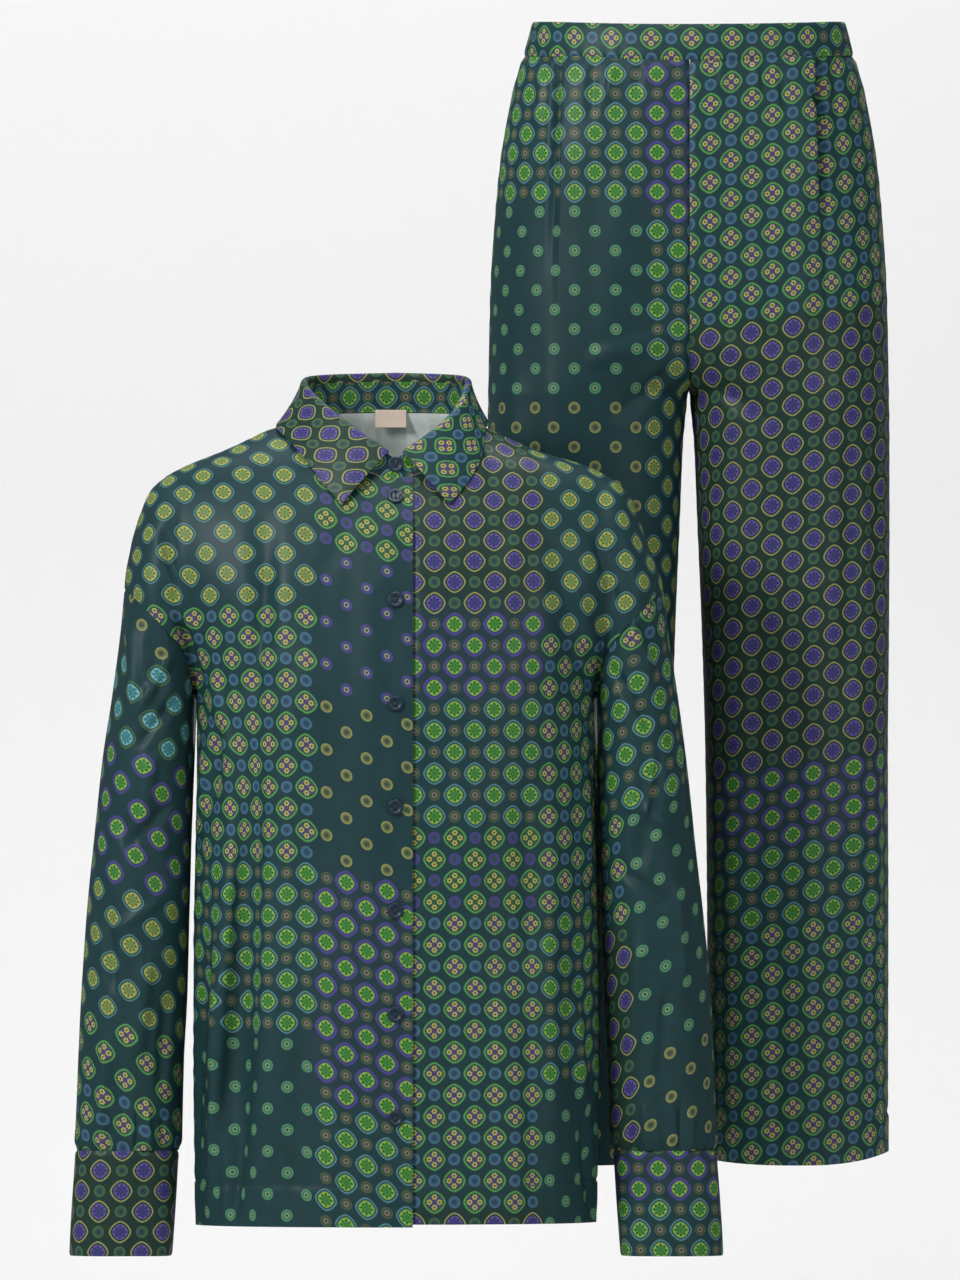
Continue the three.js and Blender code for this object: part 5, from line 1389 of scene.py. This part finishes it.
disc = sketch.blend(both(sketch.step(radius, 0.5, 1.0), 0.6), disc, INK)
disc_mask = both(sketch.step(radius, 5.2, 5.7), both(swatch(DISCS, small_kind), 0.85))
colour = sketch.blend(disc_mask, given[6], disc)

# the large medallion, from its outside to its middle
kind = given[4]
ax, ay = sketch.do("ABSOLUTE", given[0]), sketch.do("ABSOLUTE", given[1])
POINTED = 1.58
size = sketch.do("POWER", sketch.do("ADD", sketch.do("POWER", ax, POINTED), sketch.do("POWER", ay, POINTED)), 1 / POINTED)
turn = sketch.do("ARCTAN2", given[1], given[0])
has_florets = swatch(FLORETS, kind)
no_florets = sketch.do("SUBTRACT", 1.0, has_florets)
medallion = sketch.blend(0.5, given[6], swatch(GAP, kind))
scalloped = sketch.do("ADD", size, waves(turn, 16.0, -0.3, 0.3))
medallion = sketch.blend(sketch.step(scalloped, 7.1, 7.6), medallion, swatch(FILL, kind))
petals = both(sketch.do("COSINE", sketch.do("MULTIPLY", turn, 8.0)), sketch.do("COSINE", sketch.do("MULTIPLY", size, 1.35)))
petals = both(sketch.step(sketch.do("MULTIPLY", petals, -1.0), -0.35, 0.0), sketch.step(size, 7.0, 7.6))
medallion = sketch.blend(both(both(petals, no_florets), 0.4), medallion, given[6])
medallion = sketch.blend(both(both(ring_mask(size, 6.9, 0.3), no_florets), 0.6), medallion, swatch(RIM, kind))
rim = both(ring_mask(size, 6.0, 0.9), sketch.step(waves(turn, 8.0, 0.0, 1.0), 0.45, 0.8))
medallion = sketch.blend(both(both(rim, no_florets), 0.75), medallion, swatch(RIM, kind))
along_axis = length(sketch.do("SUBTRACT", sketch.do("MAXIMUM", ax, ay), 4.5), sketch.do("MINIMUM", ax, ay))
on_diagonal = length(sketch.do("SUBTRACT", ax, 3.1), sketch.do("SUBTRACT", ay, 3.1))
dots = sketch.step(sketch.do("MINIMUM", along_axis, on_diagonal), 0.75, 1.35)
medallion = sketch.blend(both(both(dots, no_florets), 0.85), medallion, swatch(DOTS, kind))
middle = both(ring_mask(size, 1.5, 0.35), no_florets)
medallion = sketch.blend(both(middle, 0.6), medallion, swatch(DOTS, kind))
big, little = sketch.do("MAXIMUM", ax, ay), sketch.do("MINIMUM", ax, ay)
past = sketch.do("SUBTRACT", big, 4.7)
petal_angle = sketch.do("ARCTAN2", little, past)
floret = sketch.do("ADD", length(past, little), waves(petal_angle, 6.0, -0.3, 0.3))
medallion = sketch.blend(both(sketch.step(floret, 2.35 - EDGE, 2.35 + EDGE), has_florets), medallion, swatch(RIM, kind))
medallion = sketch.blend(both(sketch.step(floret, 0.95 - EDGE, 0.95 + EDGE), has_florets), medallion, swatch(DOTS, kind))
beads = waves(turn, 30.0, 0.25, 1.0)
beaded = sketch.do("ADD", size, waves(turn, 30.0, -0.15, 0.15))
medallion = sketch.blend(both(ring_mask(beaded, 9.5, swatch(RING_HALF, kind)), beads), medallion, swatch(RING, kind))
outer = sketch.do("ADD", 10.0, swatch(RING_HALF, kind))
halo = sketch.step(sketch.do("SUBTRACT", size, outer), -0.5, 0.6)
sketch.feed(result[0], sketch.blend(both(halo, swatch(LARGE, kind)), colour, medallion))
draw_motifs = sketch.tree
print("nodes in the drawing:", len(draw_motifs.nodes))

# %% [markdown]
# ## Satin
# Satin is smooth on its face, so it shines softly in one broad streak along each fold. That is a
# fairly low roughness with a little sheen. A very fine weave in the bump breaks the shine up. The
# wrong side is dull, and the print shows through it only faintly.

# %% Patches of the print
PATCH_LENGTH = 1200.0
ALL = 1e4


def kind_number(key):
    return KIND_LIST.index(key) * KIND_STEP


def strip_lookup(sketch, strips, across, down, soft):
    """Kind of medallion, or soft ground colour, at a place: strips across, and patches down each one."""
    place = sketch.do("DIVIDE", sketch.do("ADD", down, 60.0), PATCH_LENGTH)
    found, edge = None, None
    for end, patches in strips:
        stops, start = [], 0.0
        for patch_end, key in patches:
            finish = (min(patch_end, 1140) + 60) / PATCH_LENGTH
            if soft:
                inset = min(0.012, (finish - start) / 2)
                stops += [(start + inset, KINDS[key][0]), (finish - inset, KINDS[key][0])]
            else:
                stops.append((start, (kind_number(key),) * 3))
            start = finish
        value = sketch.card(place, stops, "LINEAR" if soft else "CONSTANT")
        if found is None:
            found = value
        else:
            share = sketch.step(across, edge - (15 if soft else 0.01), edge + (15 if soft else 0.01))
            found = sketch.blend(share, value, found)
        edge = end
    return found


def flat_millimetres(s):
    """Across and down the flat cloth, in millimetres."""
    uv = s.node("ShaderNodeUVMap", uv_map="flat_cloth")
    split = s.node("ShaderNodeSeparateXYZ")
    s.feed(split.inputs[0], uv.outputs[0])
    return uv, *(s.do("MULTIPLY", split.outputs[i], 1000.0) for i in (0, 1))


def lay_lattice(s, across, down, pitch, start, slant):
    """Nearest motifs for a lattice with one large motif at the start place and rows that slant."""
    slope, reach = slant
    across = s.do("SUBTRACT", across, start[0])
    drop = s.do("MULTIPLY", s.do("MAXIMUM", across, reach), slope)
    down = s.do("SUBTRACT", s.do("SUBTRACT", down, start[1]), drop)
    places = s.node("ShaderNodeGroup", node_tree=nearest_motifs)
    for socket, value in zip(places.inputs, (across, down, *pitch)):
        s.feed(socket, value)
    back = [s.do("ADD", places.outputs[i], start[i % 2]) for i in (2, 3, 6, 7)]
    return places.outputs, back, s.do("ADD", down, start[1])


def draw(s, places, large_kind, small_kind, ground):
    """Colour of the print."""
    drawing = s.node("ShaderNodeGroup", node_tree=draw_motifs)
    for socket, value in zip(drawing.inputs, (places[0], places[1], places[4], places[5], large_kind, small_kind)):
        s.feed(socket, value)
    s.feed(drawing.inputs[6], ground)
    return drawing.outputs[0]


# %% Satin materials
SATIN_ROUGHNESS = 0.42


def satin(name, strips, pitch=(18.4, 19.4), start=(0.0, 0.0), slant=(0.0, -ALL)):
    """Printed satin whose patches of medallions follow the strips, in millimetres of flat cloth."""
    material = bpy.data.materials.new(name)
    material.use_nodes = True
    shader = material.node_tree.nodes["Principled BSDF"]
    s = Sketch(material.node_tree)
    uv, across, down = flat_millimetres(s)
    places, back, row = lay_lattice(s, across, down, pitch, start, slant)
    large_kind = strip_lookup(s, strips, back[0], back[1], False)
    small_kind = strip_lookup(s, strips, back[2], back[3], False)
    ground = strip_lookup(s, strips, across, row, True)
    cloud = s.node("ShaderNodeTexNoise", noise_dimensions="2D")
    cloud.inputs["Scale"].default_value = 60
    s.feed(cloud.inputs["Vector"], uv.outputs[0])
    ground = s.blend(s.do("MULTIPLY", cloud.outputs[0], 0.3), ground, dye(26, 40, 42))
    s.feed(shader.inputs["Base Color"], draw(s, places, large_kind, small_kind, ground))
    shader.inputs["Roughness"].default_value = SATIN_ROUGHNESS
    shader.inputs["Specular IOR Level"].default_value = 0.17
    weave = s.node("ShaderNodeTexNoise", noise_dimensions="2D")
    weave.inputs["Scale"].default_value = 900
    s.feed(weave.inputs["Vector"], uv.outputs[0])
    bump = s.node("ShaderNodeBump")
    bump.inputs["Strength"].default_value = 0.1
    bump.inputs["Distance"].default_value = 0.0002
    s.feed(bump.inputs["Height"], weave.outputs[0])
    s.feed(shader.inputs["Normal"], bump.outputs[0])
    return material


def wrong_side(name):
    """Dull back of the satin with a faint ghost of the print."""
    material = bpy.data.materials.new(name)
    material.use_nodes = True
    s = Sketch(material.node_tree)
    shader = material.node_tree.nodes["Principled BSDF"]
    uv, across, down = flat_millimetres(s)
    places, back, row = lay_lattice(s, across, down, (18.4, 19.4), (0.0, 0.0), (0.0, -ALL))
    pale = dye(238, 246, 243)
    ghost = draw(s, places, kind_number("E"), kind_number("A"), (*pale, 1))
    s.feed(shader.inputs["Base Color"], s.blend(0.13, pale, ghost))
    shader.inputs["Roughness"].default_value = 0.7
    return material


TO_CENTRE = (0.22, -22.0)
satin_front_right = satin("satin_front_right", [
    (-74, [(150, "E"), (392, "D"), (545, "C"), (ALL, "H")]),
    (ALL, [(100, "d"), (232, "F"), (392, "G"), (598, "B"), (ALL, "C")]),
], start=(-63.0, 417.0), slant=TO_CENTRE)
satin_front_left = satin("satin_front_left", [
    (140, [(148, "A"), (226, "B"), (344, "C"), (424, "d"), (692, "D"), (ALL, "A")]),
    (ALL, [(168, "E"), (420, "D"), (575, "C"), (ALL, "H")]),
], start=(72.0, 109.0))
satin_back = satin("satin_back", [
    (-80, [(120, "E"), (300, "D"), (470, "A"), (620, "C"), (ALL, "B")]),
    (60, [(110, "A"), (250, "B"), (420, "G"), (560, "D"), (ALL, "E")]),
    (ALL, [(140, "D"), (320, "C"), (480, "N"), (630, "P"), (ALL, "A")]),
])
satin_sleeve_right = satin("satin_sleeve_right", [
    (ALL, [(142, "E"), (200, "G"), (284, "T"), (400, "P"), (519, "E"), (592, "N"), (ALL, "D")]),
], pitch=(19.8, 20.4), start=(-6.0, 296.0), slant=(0.27, -ALL))
satin_sleeve_left = satin("satin_sleeve_left", [
    (-24, [(196, "D"), (340, "C"), (440, "D"), (ALL, "A")]),
    (ALL, [(196, "D"), (345, "C"), (550, "H"), (ALL, "G")]),
], pitch=(19.8, 19.8), start=(-30.0, 470.0), slant=(-0.3, -ALL))
satin_cuff_right = satin("satin_cuff_right", [(ALL, [(ALL, "A")])], pitch=(20.0, 18.6), start=(4.0, 664.0))
satin_cuff_left = satin("satin_cuff_left", [(ALL, [(678, "B"), (ALL, "C")])], pitch=(18.6, 18.6), start=(0.0, 662.0))
satin_stand = satin("satin_stand", [(ALL, [(ALL, "C")])], pitch=(17.6, 15.0), start=(8.0, 14.0))
satin_fall = satin("satin_fall", [(-118, [(ALL, "D")]), (ALL, [(ALL, "A")])], pitch=(17.6, 18.2), start=(0.0, 46.0))
satin_leg_right = satin("satin_leg_right", [
    (46, [(158, "B"), (271, "C"), (ALL, "E")]),
    (ALL, [(137, "C"), (320, "H"), (ALL, "G")]),
], pitch=(19.1, 18.0), start=(105.6, 55.0))
satin_leg_left = satin("satin_leg_left", [
    (ALL, [(237, "D"), (656, "A"), (725, "B"), (800, "C"), (ALL, "D")]),
], pitch=(19.1, 17.9), start=(56.6, 328.0), slant=(-0.14, -ALL))
satin_band = satin("satin_band", [(118, [(ALL, "D")]), (ALL, [(ALL, "C")])], pitch=(18.6, 18.6), start=(0.0, 14.0))
wrong_satin = wrong_side("satin_wrong_side")

# %% [markdown]
# ## Buttons, thread and label
# The buttons are cast resin with faint clouds and a soft gloss. Sewing thread is twisted, which a
# fine wave shows. The label is a close plain weave of pale threads.

# %% Button, thread and label materials


def procedural(name, base, second, scale, roughness, bump_scale, bump_strength, texture="NOISE"):
    """Material with a clouded colour and a fine bump."""
    material = bpy.data.materials.new(name)
    material.use_nodes = True
    s = Sketch(material.node_tree)
    shader = material.node_tree.nodes["Principled BSDF"]
    coordinates = s.node("ShaderNodeTexCoord")
    cloud = s.node("ShaderNodeTexNoise")
    cloud.inputs["Scale"].default_value = scale
    s.feed(cloud.inputs["Vector"], coordinates.outputs["Object"])
    s.feed(shader.inputs["Base Color"], s.blend(cloud.outputs[0], base, second))
    shader.inputs["Roughness"].default_value = roughness
    if texture == "NOISE":
        fine_texture = s.node("ShaderNodeTexNoise")
    else:
        fine_texture = s.node("ShaderNodeTexWave", wave_type="BANDS", bands_direction="DIAGONAL")
    fine_texture.inputs["Scale"].default_value = bump_scale
    s.feed(fine_texture.inputs["Vector"], coordinates.outputs["Object"])
    bump = s.node("ShaderNodeBump")
    bump.inputs["Strength"].default_value = bump_strength
    bump.inputs["Distance"].default_value = 0.0002
    s.feed(bump.inputs["Height"], fine_texture.outputs[1 if texture != "NOISE" else 0])
    s.feed(shader.inputs["Normal"], bump.outputs[0])
    return material


button_resin = procedural("button_resin", dye(20, 40, 56), dye(34, 56, 74), 260, 0.34, 900, 0.02)
button_resin.node_tree.nodes["Principled BSDF"].inputs["Specular IOR Level"].default_value = 0.55
button_cord = procedural("button_thread", dye(40, 52, 58), dye(56, 70, 76), 900, 0.6, 1800, 0.4, "WAVE")
stitch_cord = procedural("stitch_thread", dye(46, 66, 66), dye(62, 84, 80), 900, 0.55, 1800, 0.4, "WAVE")
label_weave = procedural("label_weave", dye(228, 209, 195), dye(220, 199, 184), 400, 0.75, 1500, 0.3, "WAVE")

# %% Put the materials on
SATIN_OF = {
    "shirt_front_right_cloth": satin_front_right, "shirt_front_left_cloth": satin_front_left,
    "shirt_back_cloth": satin_back, "sleeve_right_cloth": satin_sleeve_right,
    "sleeve_left_cloth": satin_sleeve_left, "cuff_right_cloth": satin_cuff_right,
    "cuff_left_cloth": satin_cuff_left, "collar_stand_cloth": satin_stand, "collar_fall_cloth": satin_fall,
    "trouser_front_right_cloth": satin_leg_right, "trouser_back_right_cloth": satin_leg_right,
    "trouser_front_left_cloth": satin_leg_left, "trouser_back_left_cloth": satin_leg_left,
    "waistband_front_cloth": satin_band, "waistband_back_cloth": satin_band,
}
DOUBLED = ("cuff_right_cloth", "cuff_left_cloth", "collar_stand_cloth", "collar_fall_cloth")
for name, piece in OBJECTS.items():
    if name in SATIN_OF:
        piece.data.materials.append(SATIN_OF[name])
        piece.data.materials.append(SATIN_OF[name] if name in DOUBLED else wrong_satin)
    else:
        piece.data.materials.append(label_weave)
        piece.data.materials.append(label_weave)
button_mesh.materials.clear()
button_mesh.materials.append(button_resin)
thread_mesh.materials.append(button_cord)
for piece in stitch_rows.values():
    piece.data.materials.append(stitch_cord)

# %% [markdown]
# ## What each piece stands for
# The solid model stays in the scene, hidden, and each shell takes the place of its solid. A table
# lists how large each sheet of cloth was cut, all round where it is a tube.

# %% Cut sizes and the solids replaced
CUTS = {
    # piece: width and length of the cut in metres, and its area in square metres
    "shirt_front_right_cloth": (0.31, 0.78, 0.185), "shirt_front_left_cloth": (0.31, 0.78, 0.185),
    "shirt_back_cloth": (0.60, 0.78, 0.345), "sleeve_right_cloth": (0.36, 0.52, 0.135),
    "sleeve_left_cloth": (0.36, 0.52, 0.135), "cuff_right_cloth": (0.27, 0.098, None),
    "cuff_left_cloth": (0.27, 0.098, None), "collar_stand_cloth": (0.45, 0.045, 0.013),
    "collar_fall_cloth": (0.62, 0.10, 0.03), "neck_label_ribbon": (0.028, 0.016, None),
    "trouser_front_right_cloth": (0.29, 1.05, 0.26), "trouser_front_left_cloth": (0.29, 1.05, 0.26),
    "trouser_back_right_cloth": (0.32, 1.05, 0.28), "trouser_back_left_cloth": (0.32, 1.05, 0.28),
    "waistband_front_cloth": (0.38, 0.031, None), "waistband_back_cloth": (0.39, 0.031, None),
}
for name, (width, length, area) in CUTS.items():
    piece = OBJECTS[name]
    node = name.replace("_cloth", "").replace("_ribbon", "")
    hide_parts(node)
for i, (turned, thread) in enumerate(zip(buttons, threads)):
    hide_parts(f"button_{i + 1}")

# %% Sizes, then finish
sizes = {"cad": [list(map(float, corner)) for corner in cad_box],
         "visual": [list(map(float, corner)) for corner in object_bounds()]}
for key, corners in sizes.items():
    print(key, "box in mm:", [[round(value * 1000, 1) for value in corner] for corner in corners])
